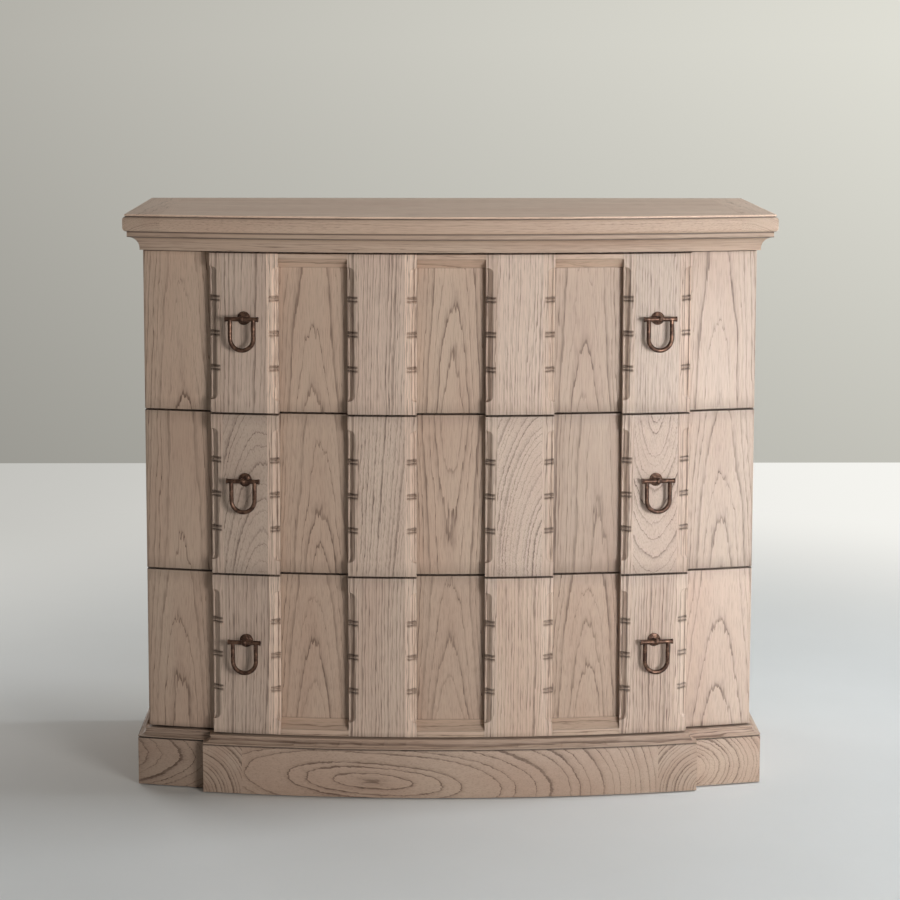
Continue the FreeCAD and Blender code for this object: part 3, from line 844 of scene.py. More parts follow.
# The rails' high tone is partly painted light: it keeps their bevels, which face down or up, about as light
# as the recesses.
RAIL = Veneer(Figure.STRAIGHT, ring=0.017, tone=1.14, sideways=True)
BACKING = Veneer(Figure.STRAIGHT, ring=0.006, tone=0.97)
ENDS = Veneer(Figure.STRAIGHT, ring=0.0055, tone=0.98, contrast=0.7, edgeways=True)


@dataclass(frozen=True)
class PaintedShade:
    """Painted shade along a crease, darkest at it, where shade falls."""

    dark: float
    reach: float

    def at(self, away: np.ndarray) -> np.ndarray:
        """How dark it is at each distance from the crease."""
        return self.dark * np.exp(-(away / self.reach) ** 2)


@dataclass(frozen=True)
class BlockEdge:
    """The carving along a block's edge: a lip and a slope that end in round stops, with three rings.

    A groove lies on either side of each ring, with its lines given in half widths from the ring. Grooves run
    out onto the block's face over groove_end.
    """

    lip: float = 0.0036
    lip_depth: float = 0.0072
    lip_round: float = 0.0009
    width: float = 0.0114
    stop_reach: float = 0.1095
    stop_round: float = 0.009
    stop_margin: float = 0.0006
    closed: float = 1e-4
    rings: tuple[int, ...] = (-1, 0, 1)
    ring_pitch: float = 0.057
    ring_half: float = 0.0013
    ring_lift: float = 0.66
    groove_depth: float = 0.0032
    groove_half: float = 0.0025
    groove_middle: float = 0.7
    groove_lines: tuple[float, ...] = (0.2, 0.7, 1.2, 1.9)
    groove_reach: float = 0.0168
    groove_end: float = 0.0028
    groove_tip: float = 0.001
    lipping: float = 0.0195
    arris: float = 0.0007
    round_lines: int = 9
    slope_lines: int = 6
    # Painted shade: darkening in the grooves, on the collars, in the crease between lip and slope, and at the
    # slope's brink.
    groove_shade: float = 1.1
    ring_shade: float = 0.3
    crease_shade: PaintedShade = PaintedShade(0.5, 0.0008)
    brink_shade: PaintedShade = PaintedShade(0.55, 0.0007)

    def insets(self) -> np.ndarray:
        """Distances in from the edge at which the carving is drawn.

        Returns:
            The distances, from the edge inwards to the end of the lipping.
        """
        lip = self.lip * (1.0 - np.cos(np.linspace(0.0, math.pi, self.round_lines))) / 2.0
        slope = np.linspace(self.lip, self.width, self.slope_lines)[1:-1]
        brink = self.width + self.arris * np.array((-1.0, 0.0, 1.0))
        face = self.groove_reach - np.array((self.groove_end, self.groove_tip, 0.0))
        return np.concatenate((lip, (self.lip + self.arris,), slope, brink, face, (self.lipping,)))

    def heights(self) -> np.ndarray:
        """Heights from the middle of the edge at which the carving is drawn.

        Returns:
            The heights, in no order.
        """
        collar = self.ring_half * np.sin(np.linspace(-math.pi / 2, math.pi / 2, self.round_lines))
        outside = self.ring_half + self.groove_half * np.array(self.groove_lines)
        ring = np.concatenate((-outside[::-1], collar, outside))
        rings = [ring + turn * self.ring_pitch for turn in self.rings]
        between = np.array((-0.5, 0.5)) * self.ring_pitch
        quarter = np.sin(np.linspace(0.0, math.pi / 2, self.round_lines))
        stop = self.stop_reach - self.stop_round * (1.0 - quarter)
        past_stop = self.stop_reach + self.stop_margin
        return np.concatenate((*rings, between, stop, -stop, (past_stop, -past_stop)))

    def grooves(self, height: np.ndarray) -> np.ndarray:
        """The cuts beside the rings.

        Args:
            height: heights from the middle of the edge.

        Returns:
            How deep the cuts are at each height, 0 to 1.
        """
        cuts = np.zeros_like(height)
        middle = self.ring_half + self.groove_middle * self.groove_half
        for turn in self.rings:
            away = np.abs(np.abs(height - turn * self.ring_pitch) - middle)
            cuts = np.maximum(cuts, np.clip(1.0 - away / self.groove_half, 0.0, 1.0))
        return cuts

    def collars(self, height: np.ndarray) -> np.ndarray:
        """The rings that stand proud.

        Args:
            height: heights from the middle of the edge.

        Returns:
            How proud they stand at each height, 0 to 1.
        """
        collars = np.zeros_like(height)
        for turn in self.rings:
            away = np.abs(height - turn * self.ring_pitch) / self.ring_half
            collars = np.maximum(collars, np.sqrt(np.clip(1.0 - away ** 2, 0.0, 1.0)))
        return collars

    def carve(self, inset: np.ndarray, height: np.ndarray) -> tuple[np.ndarray, np.ndarray]:
        """The carving as a relief.

        Args:
            inset: distances in from the edge.
            height: heights from the middle of the edge.

        Returns:
            Depth under the block's face, and how dark the painted shade is there, each height by inset.
        """
        past = np.clip((np.abs(height) - self.stop_reach + self.stop_round) / self.stop_round, 0.0, 1.0)
        open_share = np.sqrt(1.0 - past ** 2)[:, None]
        spread = inset[None, :] / np.maximum(open_share, self.closed)
        crease = self.lip_depth + self.lip_round
        over_lip = np.clip(spread / self.lip, 0.0, 1.0)
        lip = self.lip_depth + self.lip_round * (2.0 * over_lip - 1.0) ** 2
        slope = crease * np.clip((self.width - spread) / (self.width - self.lip), 0.0, 1.0)
        depth = np.where(spread < self.lip, lip, slope) * np.sqrt(open_share)
        collars = self.collars(height)[:, None]
        depth = depth * (1.0 - self.ring_lift * collars)
        reach = np.sqrt(np.clip((self.groove_reach - inset) / self.groove_end, 0.0, 1.0))[None, :]
        cuts = self.grooves(height)[:, None] * reach
        # Painted shade in the grooves, on the collars and along the creases.
        creases = self.crease_shade.at(spread - self.lip) + self.brink_shade.at(spread - self.width)
        painted_shade = self.groove_shade * cuts + self.ring_shade * collars * reach + open_share * creases
        return depth + self.groove_depth * cuts, np.clip(painted_shade, 0.0, self.groove_shade)


@dataclass(frozen=True)
class Rail:
    """A rail that closes the recesses at one end: a flat and a bevel down to the recess."""

    flat: float
    bevel: float
    crease: float = 0.0009
    # Painted shade in the creases at the top and at the foot of the bevel.
    upper_shade: PaintedShade = PaintedShade(0.7, 0.0008)
    lower_shade: PaintedShade = PaintedShade(0.45, 0.0007)

    def lines(self) -> np.ndarray:
        """Distances from the end at which the rail's bevel and its two creases are drawn."""
        crease = self.crease * np.array((-1.0, 0.0, 1.0))
        return np.concatenate((self.flat + crease, self.flat + self.bevel + crease))

    def painted_shade(self, from_end: np.ndarray) -> np.ndarray:
        """How dark the painted shade is in the two creases, by distance from that end."""
        return self.upper_shade.at(from_end - self.flat) + self.lower_shade.at(from_end - self.flat - self.bevel)

    def rise(self, from_end: np.ndarray) -> np.ndarray:
        """How much of the block's rise the recess has, by distance from that end."""
        return np.clip((self.flat + self.bevel - from_end) / self.bevel, 0.0, 1.0)


def carry(mesh: bpy.types.Mesh, name: str, domain: str, values: np.ndarray) -> None:
    """Lets a mesh carry numbers for its finish.

    Args:
        mesh: that carries them.
        name: of the attribute.
        domain: POINT, FACE or CORNER.
        values: one number for each, or three in a row.
    """
    if values.ndim > 1:
        mesh.attributes.new(name, "FLOAT_VECTOR", domain).data.foreach_set("vector", values.ravel())
    else:
        mesh.attributes.new(name, "FLOAT", domain).data.foreach_set("value", values)


def shade(mesh: bpy.types.Mesh, sharp: float) -> None:
    """Shades a mesh smoothly, apart from its arrises.

    Args:
        mesh: that is shaded.
        sharp: angle in degrees from which an edge stays sharp.
    """
    for polygon in mesh.polygons:
        polygon.use_smooth = True
    mesh.set_sharp_from_angle(angle=math.radians(sharp))


def stand_in(mesh: bpy.types.Mesh, node: str, body: str, slot: Slot) -> bpy.types.Object:
    """Puts a mesh in the place of a solid.

    Args:
        mesh: finished, with the piece's name.
        node: name of the solid.
        body: that the piece rides on.
        slot: not used.

    Returns:
        The new piece.
    """
    piece = bpy.data.objects.new(mesh.name, mesh)
    bpy.context.scene.collection.objects.link(piece)
    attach(piece, body)
    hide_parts(node)
    LOG.info("%s: stands for %s", piece.name, node)
    return piece


def repaint(node: str, material: Material) -> None:
    """Gives a solid that keeps its shape a better material.

    Args:
        node: name of the solid.
        material: for all of it.
    """
    for slot in frame["nodes"][node].material_slots:
        slot.material = material
    LOG.info("%s: dressed", node)


class Column(NamedTuple):
    """An upright line of a front's mesh: its place, its strip and its inset from the strip's nearer edge."""

    place: float
    strip: int
    inset: float


@dataclass
class BlockFront:
    """A drawer front of nine strips: recesses on a bow, and between them blocks that stand proud of it.

    rubbed holds the tones of the blocks' right-hand lippings, from left to right: mostly a painted highlight
    on the edges that face the light, with some rubbed wear. Painted shade darkens the foot, the head and the
    walls of the strips, so that the gaps between the drawers and the corners of the recesses read dark. The
    log's depth follows the relief by relief_share, and each sheet and each drawer is cut from another stretch
    of its log.
    """

    tier: Tier
    veneers: tuple[Veneer, ...]
    # Tones of the right-hand lippings: mostly a painted highlight on the edges that face the light, with some
    # rubbed wear.
    rubbed: tuple[float, ...]
    upper_rail: Optional[Rail] = None
    lower_rail: Optional[Rail] = None
    bow_rise: float = 0.0625
    block_rise: float = 0.0225
    thickness: float = 0.022
    ease: float = 0.0006
    ease_lines: tuple[float, ...] = (0.0, 0.12, 0.4, 1.0)
    wall_lines: tuple[float, ...] = (0.0, 0.0012, 0.004)
    face_lines: int = 6
    # Painted shade along the walls of the recesses, and on the foot and the head, which darkens the gaps
    # between the drawers.
    wall_shade: float = 0.4
    wall_shade_reach: float = 0.0025
    foot_shade: float = 1.4
    head_shade: float = 1.0
    rim_shade_reach: float = 0.0004
    sharp: float = 32.0
    relief_share: float = 0.15
    sheet_step: float = 0.83
    drawer_step: float = 40.0
    edge: BlockEdge = field(default_factory=BlockEdge)

    def __post_init__(self) -> None:
        """Reads where the front stands from the frame, and lists its sheets of veneer."""
        self.node = f"{self.tier.value}_drawer_front"
        low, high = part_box(self.node)
        self.foot, self.top, self.half = low.z, high.z, high.x
        self.middle = (self.foot + self.top) / 2.0
        self.pitch = 2.0 * self.half / len(self.veneers)
        self.radius = (self.half ** 2 + self.bow_rise ** 2) / (2.0 * self.bow_rise)
        self.last = len(self.veneers) - 1
        # The right-hand lippings take the lighter tones: a painted highlight where the edges face the light,
        # with some rubbed wear.
        lippings = [sheet for tone in self.rubbed for sheet in (LIPPING, replace(LIPPING, tone=tone))]
        others = (RAIL, BACKING, ENDS)
        self.sheets = [*self.veneers, *lippings, *others]
        self.rail, self.backing, self.ends = range(len(self.sheets) - len(others), len(self.sheets))

    def build(self) -> bpy.types.Object:
        """Makes the front as one closed mesh.

        Returns:
            The new piece, which stands for the solid.
        """
        columns = self.columns()
        heights = self.rows()
        rises, painted_shade = self.relief(columns, heights)
        across = np.array([column.place for column in columns])
        mesh = self.mesh(across, heights, rises, painted_shade, self.spans(columns))
        return stand_in(mesh, self.node, f"{self.tier.value}_drawer", Slot.FACE)

    def dress(self, piece: bpy.types.Object, oak: Material) -> None:
        """Gives the front its figured oak."""
        piece.data.materials.append(oak)

    def is_block(self, strip: int) -> bool:
        """Every second strip is a block."""
        return strip % 2 == 1

    def columns(self) -> list[Column]:
        """The upright lines of the mesh.

        Returns:
            The lines from left to right, with two at each wall between strips.
        """
        columns = []
        for strip in range(len(self.veneers)):
            left = -self.half + strip * self.pitch
            insets = self.edge.insets() if self.is_block(strip) else np.array(self.wall_lines)
            inner = np.linspace(insets[-1], self.pitch - insets[-1], self.face_lines)[1:-1]
            places = np.concatenate((insets, inner, self.pitch - insets[::-1]))
            columns += [Column(left + place, strip, min(place, self.pitch - place)) for place in places]
        return columns

    def spans(self, columns: list[Column]) -> list[int]:
        """The sheets between the upright lines.

        Args:
            columns: the lines.

        Returns:
            Number of the sheet between each two lines.
        """
        spans = []
        for first, second in zip(columns, columns[1:]):
            block = next((strip for strip in (first.strip, second.strip) if self.is_block(strip)), None)
            if block is None or max(first.inset, second.inset) > self.edge.lipping + WELD:
                spans.append(first.strip)
                continue
            block_middle = -self.half + (block + 0.5) * self.pitch
            left_lipping = len(self.veneers) + block - 1
            right_hand = first.place + second.place > 2.0 * block_middle
            spans.append(left_lipping + 1 if right_hand else left_lipping)
        return spans

    def rows(self) -> np.ndarray:
        """The level lines of the mesh.

        Returns:
            Their heights, upwards.
        """
        eased = self.ease * np.array(self.ease_lines)
        heights = [self.middle + self.edge.heights(), self.foot + eased, self.top - eased]
        if self.upper_rail:
            heights.append(self.top - self.upper_rail.lines())
        if self.lower_rail:
            heights.append(self.foot + self.lower_rail.lines())
        return np.unique(np.round(np.concatenate(heights), 6))

    def rails(self, heights: np.ndarray) -> list[tuple[Rail, np.ndarray]]:
        """The rails that the front has.

        Args:
            heights: of level lines.

        Returns:
            Each rail, and how far every height is from its end.
        """
        ends = ((self.upper_rail, self.top - heights), (self.lower_rail, heights - self.foot))
        return [(rail, from_end) for rail, from_end in ends if rail]

    def railed(self, heights: np.ndarray) -> np.ndarray:
        """How much of the block's rise a rail gives the recesses.

        Args:
            heights: of level lines.

        Returns:
            The share at each height.
        """
        share = np.zeros_like(heights)
        for rail, from_end in self.rails(heights):
            share = np.maximum(share, rail.rise(from_end))
        return share

    def relief(self, columns: list[Column], heights: np.ndarray) -> tuple[np.ndarray, np.ndarray]:
        """How far the front stands out from the bow, and where shade is painted.

        Args:
            columns: upright lines of the mesh.
            heights: level lines of the mesh.

        Returns:
            Rise and painted shade, each height by column.
        """
        rises = np.zeros((len(heights), len(columns)))
        painted_shade = np.zeros_like(rises)
        from_middle = heights - self.middle
        from_ends = np.minimum(heights - self.foot, self.top - heights)
        railed = self.railed(heights)
        rail_shade = np.zeros_like(heights)
        for rail, from_end in self.rails(heights):
            rail_shade += rail.painted_shade(from_end)
        for index, column in enumerate(columns):
            if self.is_block(column.strip):
                depth, dark = self.edge.carve(np.array((column.inset,)), from_middle)
                rises[:, index] = self.block_rise - depth[:, 0]
                painted_shade[:, index] = dark[:, 0]
                continue
            outermost = column.strip in (0, self.last)
            if not outermost:
                rises[:, index] = self.block_rise * railed
                painted_shade[:, index] = rail_shade
            # Painted shade in the corners of the recesses, beside the block walls.
            if not outermost or column.inset > 0.0:
                painted_shade[:, index] += self.wall_shade * math.exp(-column.inset / self.wall_shade_reach)
        from_sides = self.half - np.abs(np.array([column.place for column in columns]))
        # Painted shade on the foot and the head, which darkens the gaps between the drawers.
        rim_shade = np.where(from_middle < 0.0, self.foot_shade, self.head_shade)
        rim_shade = rim_shade * np.exp(-from_ends / self.rim_shade_reach)
        painted_shade = np.clip(painted_shade + rim_shade[:, None] * (from_sides > WELD)[None, :], 0.0, self.foot_shade)
        rises -= self.rounding(from_ends)[:, None]
        return rises - self.rounding(from_sides)[None, :], painted_shade

    def rounding(self, from_end: np.ndarray) -> np.ndarray:
        """How far a softened arris falls back, by distance from it."""
        inside = np.clip(1.0 - from_end / self.ease, 0.0, 1.0)
        return self.ease * (1.0 - np.sqrt(1.0 - inside ** 2))

    def mesh(self, across: np.ndarray, heights: np.ndarray, rises: np.ndarray, painted_shade: np.ndarray,
             spans: list[int]) -> bpy.types.Mesh:
        """Joins the relief to a back, a top, a foot and two ends.

        Args:
            across: place of each column.
            heights: height of each row.
            rises: relief, row by column.
            painted_shade: painted shade, row by column.
            spans: sheet between each two columns.

        Returns:
            The mesh, with its place in the log on every corner.
        """
        rows, lines = rises.shape
        depth = BOW_AXIS - np.sqrt((self.radius + rises) ** 2 - across[None, :] ** 2)
        front = np.stack((np.broadcast_to(across, rises.shape), depth,
                          np.broadcast_to(heights[:, None], rises.shape)), axis=-1).reshape(-1, 3)
        single = [index for index in range(lines) if index == 0 or across[index] > across[index - 1] + WELD]
        back_depth = BOW_AXIS - np.sqrt((self.radius - self.thickness) ** 2 - across[single] ** 2)
        backs = [np.stack((across[single], back_depth, np.full(len(single), height)), axis=-1)
                 for height in (heights[0], heights[-1])]
        faces, sheets = self.front_faces(rows, lines, spans, heights)
        low_back = {line: rows * lines + order for order, line in enumerate(single)}
        high_back = {line: index + len(single) for line, index in low_back.items()}
        for line, following in zip(single, single[1:]):
            faces.append((low_back[following], low_back[line], high_back[line], high_back[following]))
            sheets.append(self.backing)
            for row, back in ((0, low_back), (rows - 1, high_back)):
                rim = self.rim(row, line, following, across, rises)
                cap = [*rim, back[following], back[line]]
                faces.append(tuple(cap if row else cap[::-1]))
                sheets.append(spans[following - 1])
        first, last = single[0], single[-1]
        left = [low_back[first], *(row * lines for row in range(rows)), high_back[first]]
        right = [low_back[last], *(row * lines + lines - 1 for row in range(rows)), high_back[last]]
        faces += [tuple(left), tuple(right[::-1])]
        sheets += [self.ends, self.ends]
        mesh = bpy.data.meshes.new(f"{self.tier.value}_front_carved")
        mesh.from_pydata(np.concatenate((front, *backs)).tolist(), [], faces)
        mesh.attributes.new("sheet", "INT", "FACE").data.foreach_set("value", sheets)
        carry(mesh, "painted_shade", "POINT", np.concatenate((painted_shade.ravel(), np.zeros(2 * len(single)))))
        self.clean(mesh)
        self.lay_veneers(mesh)
        return mesh

    def front_faces(self, rows: int, lines: int, spans: list[int],
                    heights: np.ndarray) -> tuple[list[tuple[int, ...]], list[int]]:
        """Faces of the relief and the sheet on each.

        Args:
            rows: number of level lines.
            lines: number of upright lines.
            spans: sheet between each two upright lines.
            heights: of the level lines.

        Returns:
            Corners of each face, and its sheet.
        """
        railed = self.railed((heights[1:] + heights[:-1]) / 2.0) > 0.0
        faces = []
        sheets = []
        for row in range(rows - 1):
            for line, sheet in enumerate(spans):
                foot = row * lines + line
                faces.append((foot, foot + 1, foot + lines + 1, foot + lines))
                recess = 0 < sheet < self.last and not self.is_block(sheet)
                sheets.append(self.rail if railed[row] and recess else sheet)
        return faces, sheets

    def rim(self, row: int, line: int, following: int, across: np.ndarray, rises: np.ndarray) -> list[int]:
        """The front corners of one stretch of the top or the foot, from left to right.

        Args:
            row: first or last level line.
            line: first upright line of the stretch.
            following: first upright line of the next stretch.
            across: place of each upright line.
            rises: relief, row by column.

        Returns:
            Corner numbers, with the foot of a wall where the stretch stands above its neighbour.
        """
        start = line + 1 if line + 1 < following else line
        corners = list(range(start, following + 1))
        if start > line and rises[row, line] < rises[row, start]:
            corners.insert(0, line)
        after = following + 1
        at_wall = after < len(across) and across[after] - across[following] < WELD
        if at_wall and rises[row, after] < rises[row, following]:
            corners.append(after)
        return [row * len(across) + corner for corner in corners]

    def clean(self, mesh: bpy.types.Mesh) -> None:
        """Joins corners that meet, drops walls of no height, and shades the mesh.

        Args:
            mesh: of the front.
        """
        work = bmesh.new()
        work.from_mesh(mesh)
        bmesh.ops.remove_doubles(work, verts=work.verts, dist=WELD)
        bmesh.ops.dissolve_degenerate(work, edges=work.edges, dist=WELD)
        work.to_mesh(mesh)
        work.free()
        shade(mesh, self.sharp)

    def corners(self, mesh: bpy.types.Mesh) -> tuple[np.ndarray, np.ndarray]:
        """Reads the mesh corner by corner.

        Args:
            mesh: of the front.

        Returns:
            The sheet at each corner, and its point.
        """
        vertex = np.zeros(len(mesh.loops), int)
        mesh.loops.foreach_get("vertex_index", vertex)
        points = np.zeros(3 * len(mesh.vertices))
        mesh.vertices.foreach_get("co", points)
        totals = np.zeros(len(mesh.polygons), int)
        mesh.polygons.foreach_get("loop_total", totals)
        sheet_of_face = np.zeros(len(mesh.polygons), int)
        mesh.attributes["sheet"].data.foreach_get("value", sheet_of_face)
        return np.repeat(sheet_of_face, totals), points.reshape(-1, 3)[vertex]

    def sheet_middles(self) -> list[float]:
        """Where the middle of each sheet lies, across.

        Returns:
            The places, in the order of the sheets.
        """
        strips = [-self.half + (strip + 0.5) * self.pitch for strip in range(len(self.veneers))]
        blocks = [place for strip, place in enumerate(strips) if self.is_block(strip)]
        lippings = [place + side * self.pitch / 2.0 for place in blocks for side in (-1, 1)]
        middles = strips + lippings
        return middles + [0.0] * (len(self.sheets) - len(middles))

    def lay_veneers(self, mesh: bpy.types.Mesh) -> None:
        """Writes each corner's place in its log, tone, strength of colour, width of ring and contrast.

        Args:
            mesh: of the front.
        """
        sheet, points = self.corners(mesh)
        hearts = np.array([veneer.heart(self.top - self.foot) for veneer in self.sheets])[sheet]
        sideways = np.array([veneer.sideways for veneer in self.sheets])[sheet]
        edgeways = np.array([veneer.edgeways for veneer in self.sheets])[sheet]
        level = points[:, 2] - self.middle
        from_middle = np.where(edgeways, points[:, 1], points[:, 0] - np.array(self.sheet_middles())[sheet])
        along = np.where(sideways, from_middle, level)
        across = np.where(sideways, level, from_middle) - hearts[:, 0]
        behind = (points[:, 1] - BOW_AXIS + self.radius) * self.relief_share
        depth = hearts[:, 1] + hearts[:, 2] * along + behind
        stretch = along + self.sheet_step * sheet + self.drawer_step * self.foot
        carry(mesh, "grain", "CORNER", np.stack((across, depth, stretch), axis=-1))
        dressing = [(veneer.tone, veneer.strength, veneer.ring) for veneer in self.sheets]
        carry(mesh, "dressing", "CORNER", np.array(dressing)[sheet])
        carry(mesh, "contrast", "CORNER", np.array([veneer.contrast for veneer in self.sheets])[sheet])


@dataclass
class Joinery:
    """Oak pieces that keep their solids' shapes, with softened arrises, one finish for each group.

    Angles are in degrees. Painted shade darkens the creases, and the arrises are worn.
    """

    title: str
    groups: tuple[tuple[OakFinish, tuple[str, ...]], ...]
    slot: Slot = Slot.FACE
    ease: float = 0.0007
    crease: float = 0.0008
    arris_angle: float = 28.0
    crease_angle: float = 48.0
    flat_angle: float = 0.15
    weld: float = 2e-6
    sharp: float = 34.0

    def build(self) -> None:
        """Makes and dresses every piece."""
        for finish, nodes in self.groups:
            material = finish.material()
            for node in nodes:
                mesh = self.mesh(node)
                mesh.materials.append(material)
                stand_in(mesh, node, body_of(frame["nodes"][node])[0], self.slot)
        LOG.info("%s: finished", self.title)

    def mesh(self, node: str) -> bpy.types.Mesh:
        """Copies a solid, with softened and worn arrises, and creases darkened by painted shade.

        Args:
            node: name of the solid.

        Returns:
            The mesh.
        """
        work = bmesh.new()
        work.from_mesh(frame["nodes"][node].data)
        work.faces.layers.float.new("wear_and_highlight")
        work.faces.layers.float.new("painted_shade")
        bmesh.ops.remove_doubles(work, verts=work.verts, dist=self.weld)
        bmesh.ops.dissolve_limit(work, angle_limit=math.radians(self.flat_angle), verts=work.verts,
                                 edges=work.edges)
        # Creases get a small bevel and painted shade; arrises get a bevel and wear.
        self.soften(work, False, self.crease_angle, self.crease, 1, "painted_shade")
        self.soften(work, True, self.arris_angle, self.ease, 2, "wear_and_highlight")
        mesh = bpy.data.meshes.new(f"{node}_eased")
        work.to_mesh(mesh)
        work.free()
        shade(mesh, self.sharp)
        return mesh

    def soften(self, work: bmesh.types.BMesh, convex: bool, angle: float, width: float, segments: int,
               layer: str) -> None:
        """Bevels the arrises or the creases of a mesh, and marks the new faces.

        Args:
            work: the mesh.
            convex: whether these are arrises, or else creases.
            angle: from which an edge is taken.
            width: of the bevel.
            segments: of the bevel.
            layer: name under which the new faces carry a 1.
        """
        edges = [edge for edge in work.edges if edge.is_manifold and edge.is_convex == convex
                 and edge.calc_face_angle() > math.radians(angle)]
        softened = bmesh.ops.bevel(work, geom=edges, offset=width, segments=segments, profile=0.5,
                                   affect="EDGES", clamp_overlap=True)
        mark = work.faces.layers.float[layer]
        for face in softened["faces"]:
            face[mark] = 1.0


@dataclass
class Slab:
    """The top: a field and two cross-grained ends, with a fillet, a quirk and a round along front and sides.

    The edge's fillet is pairs of inset from the outline and drop from the top. Under it lie the quirk's floor
    and two quarter rounds, each with its own width and height. Painted shade darkens the lines round the
    quirk, and the first rows of faces, on the fillet, carry a painted highlight where the edge catches the
    light.
    """

    fillet_edge: Stops = (
        (0.0050, 0.0), (0.0038, 0.0003), (0.0031, 0.0010), (0.0029, 0.0030), (0.0050, 0.0033),
    )
    quirk_foot: float = 0.0044
    upper_round: Span = (0.0050, 0.0048)
    lower_round: Span = (0.0064, 0.0065)
    round_steps: int = 5
    # Painted shade on the lines round the quirk.
    quirk_shade: tuple[tuple[int, float], ...] = ((3, 0.5), (4, 1.0), (5, 1.0), (6, 0.5))
    fillet_rows: int = 3
    # Painted highlight on the fillet, where the edge catches the light.
    fillet_highlight: float = 9.0
    bow_lines: int = 65
    end_lines: int = 9
    sharp: float = 34.0

    def __post_init__(self) -> None:
        """Reads where the slab stands from the frame."""
        low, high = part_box("top_field")
        self.foot, self.top, self.back, self.joint = low.z, high.z, high.y, high.x
        self.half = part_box("top_band_right")[1].x
        self.radius = BOW_AXIS - low.y

    def build(self, field_oak: OakFinish, left_oak: OakFinish, right_oak: OakFinish) -> None:
        """Makes and dresses the field and both ends.

        Args:
            field_oak: finish of the field.
            left_oak: finish of the left end.
            right_oak: finish of the right end.
        """
        beyond = 2.0 * self.half
        boards = (
            ("top_field", -self.joint, self.joint, 1.0, field_oak),
            ("top_band_left", self.joint, beyond, -1.0, left_oak),
            ("top_band_right", self.joint, beyond, 1.0, right_oak),
        )
        for node, start, stop, mirror, oak in boards:
            mesh = self.mesh(node, start, stop, mirror)
            mesh.materials.append(oak.material())
            stand_in(mesh, node, body_of(frame["nodes"][node])[0], Slot.FACE)

    def profile(self) -> list[Span]:
        """The slab's edge from its top to its foot.

        Returns:
            Inset and height of each line along the edge.
        """
        lines = [(inset, self.top - drop) for inset, drop in self.fillet_edge]
        turns = np.linspace(0.0, math.pi / 2, self.round_steps + 1)
        width, height = self.upper_round
        head = self.top - self.quirk_foot
        lines += [(width * (1.0 - math.sin(turn)), head - height * (1.0 - math.cos(turn))) for turn in turns]
        width, height = self.lower_round
        lines += [(width * (1.0 - math.cos(turn)), self.foot + height * (1.0 - math.sin(turn)))
                  for turn in turns]
        return lines

    def outline(self, start: float, inset: float, stop: float) -> list[Span]:
        """The outline at one height, from a joint along the bow to the other joint or round the end.

        Args:
            start: where it starts, across.
            inset: how far it lies inside the slab's reach.
            stop: where it stops; past the end of the slab, it goes on to the back.

        Returns:
            Points across and deep.
        """
        corner = min(stop, self.half - inset)
        places = np.linspace(start, corner, self.end_lines if stop > self.joint else self.bow_lines)
        points = [(x, BOW_AXIS - math.sqrt((self.radius - inset) ** 2 - x ** 2)) for x in places]
        return points + [(corner, self.back)] if stop > self.joint else points

    def mesh(self, node: str, start: float, stop: float, mirror: float) -> bpy.types.Mesh:
        """Makes one of the three boards.

        Args:
            node: the solid that it stands for.
            start: where its front starts, across.
            stop: where it stops.
            mirror: 1, or -1 for the left end.

        Returns:
            The mesh.
        """
        loops = [[(mirror * x, y, height) for x, y in self.outline(start, inset, stop)]
                 for inset, height in self.profile()]
        count = len(loops[0])
        points = [point for loop in loops for point in loop]
        faces = []
        for row in range(len(loops) - 1):
            for line in range(count - 1):
                foot = (row + 1) * count + line
                faces.append((foot, foot + 1, foot - count + 1, foot - count))
        behind = [start] if stop > self.joint else [stop, start]
        top_back = list(range(len(points), len(points) + len(behind)))
        foot_back = [corner + len(behind) for corner in top_back]
        points += [(mirror * x, self.back, height) for height in (self.top, self.foot) for x in behind]
        first = [row * count for row in range(len(loops))]
        last = [row * count + count - 1 for row in range(len(loops))]
        faces.append((*range(count), *top_back))
        faces.append((*reversed(range(first[-1], last[-1] + 1)), *reversed(foot_back)))
        faces.append((*first, foot_back[-1], top_back[-1]))
        faces.append((*reversed(last), top_back[0], foot_back[0]))
        if len(behind) > 1:
            faces.append((top_back[0], foot_back[0], foot_back[1], top_back[1]))
        mesh = bpy.data.meshes.new(f"{node}_moulded")
        mesh.from_pydata(points, [], faces)
        # Painted shade on the lines round the quirk.
        painted_shade = np.zeros(len(points))
        for row, dark in self.quirk_shade:
            painted_shade[row * count:(row + 1) * count] = dark
        carry(mesh, "painted_shade", "POINT", painted_shade)
        # Painted highlight on the fillet's faces, where the edge catches the light.
        highlight = np.zeros(len(faces))
        highlight[:self.fillet_rows * (count - 1)] = self.fillet_highlight
        carry(mesh, "wear_and_highlight", "FACE", highlight)
        work = bmesh.new()
        work.from_mesh(mesh)
        bmesh.ops.remove_doubles(work, verts=work.verts, dist=WELD)
        bmesh.ops.recalc_face_normals(work, faces=work.faces)
        work.to_mesh(mesh)
        work.free()
        shade(mesh, self.sharp)
        return mesh


@dataclass
class Pull:
    """A bail pull: pitted round plate with its ball, cross bar and bail."""

    tier: Tier
    hand: Hand

    def dress(self, plate: Material, rod: Material) -> None:
        """Gives the pull its bronze.

        Args:
            plate: for the round plate and its ball.
            rod: for the bar and the bail.
        """
        name = f"{self.tier.value}_{self.hand.value}_pull"
        repaint(f"{name}_base", plate)
        repaint(f"{name}_bar", rod)
        repaint(f"{name}_bail", rod)


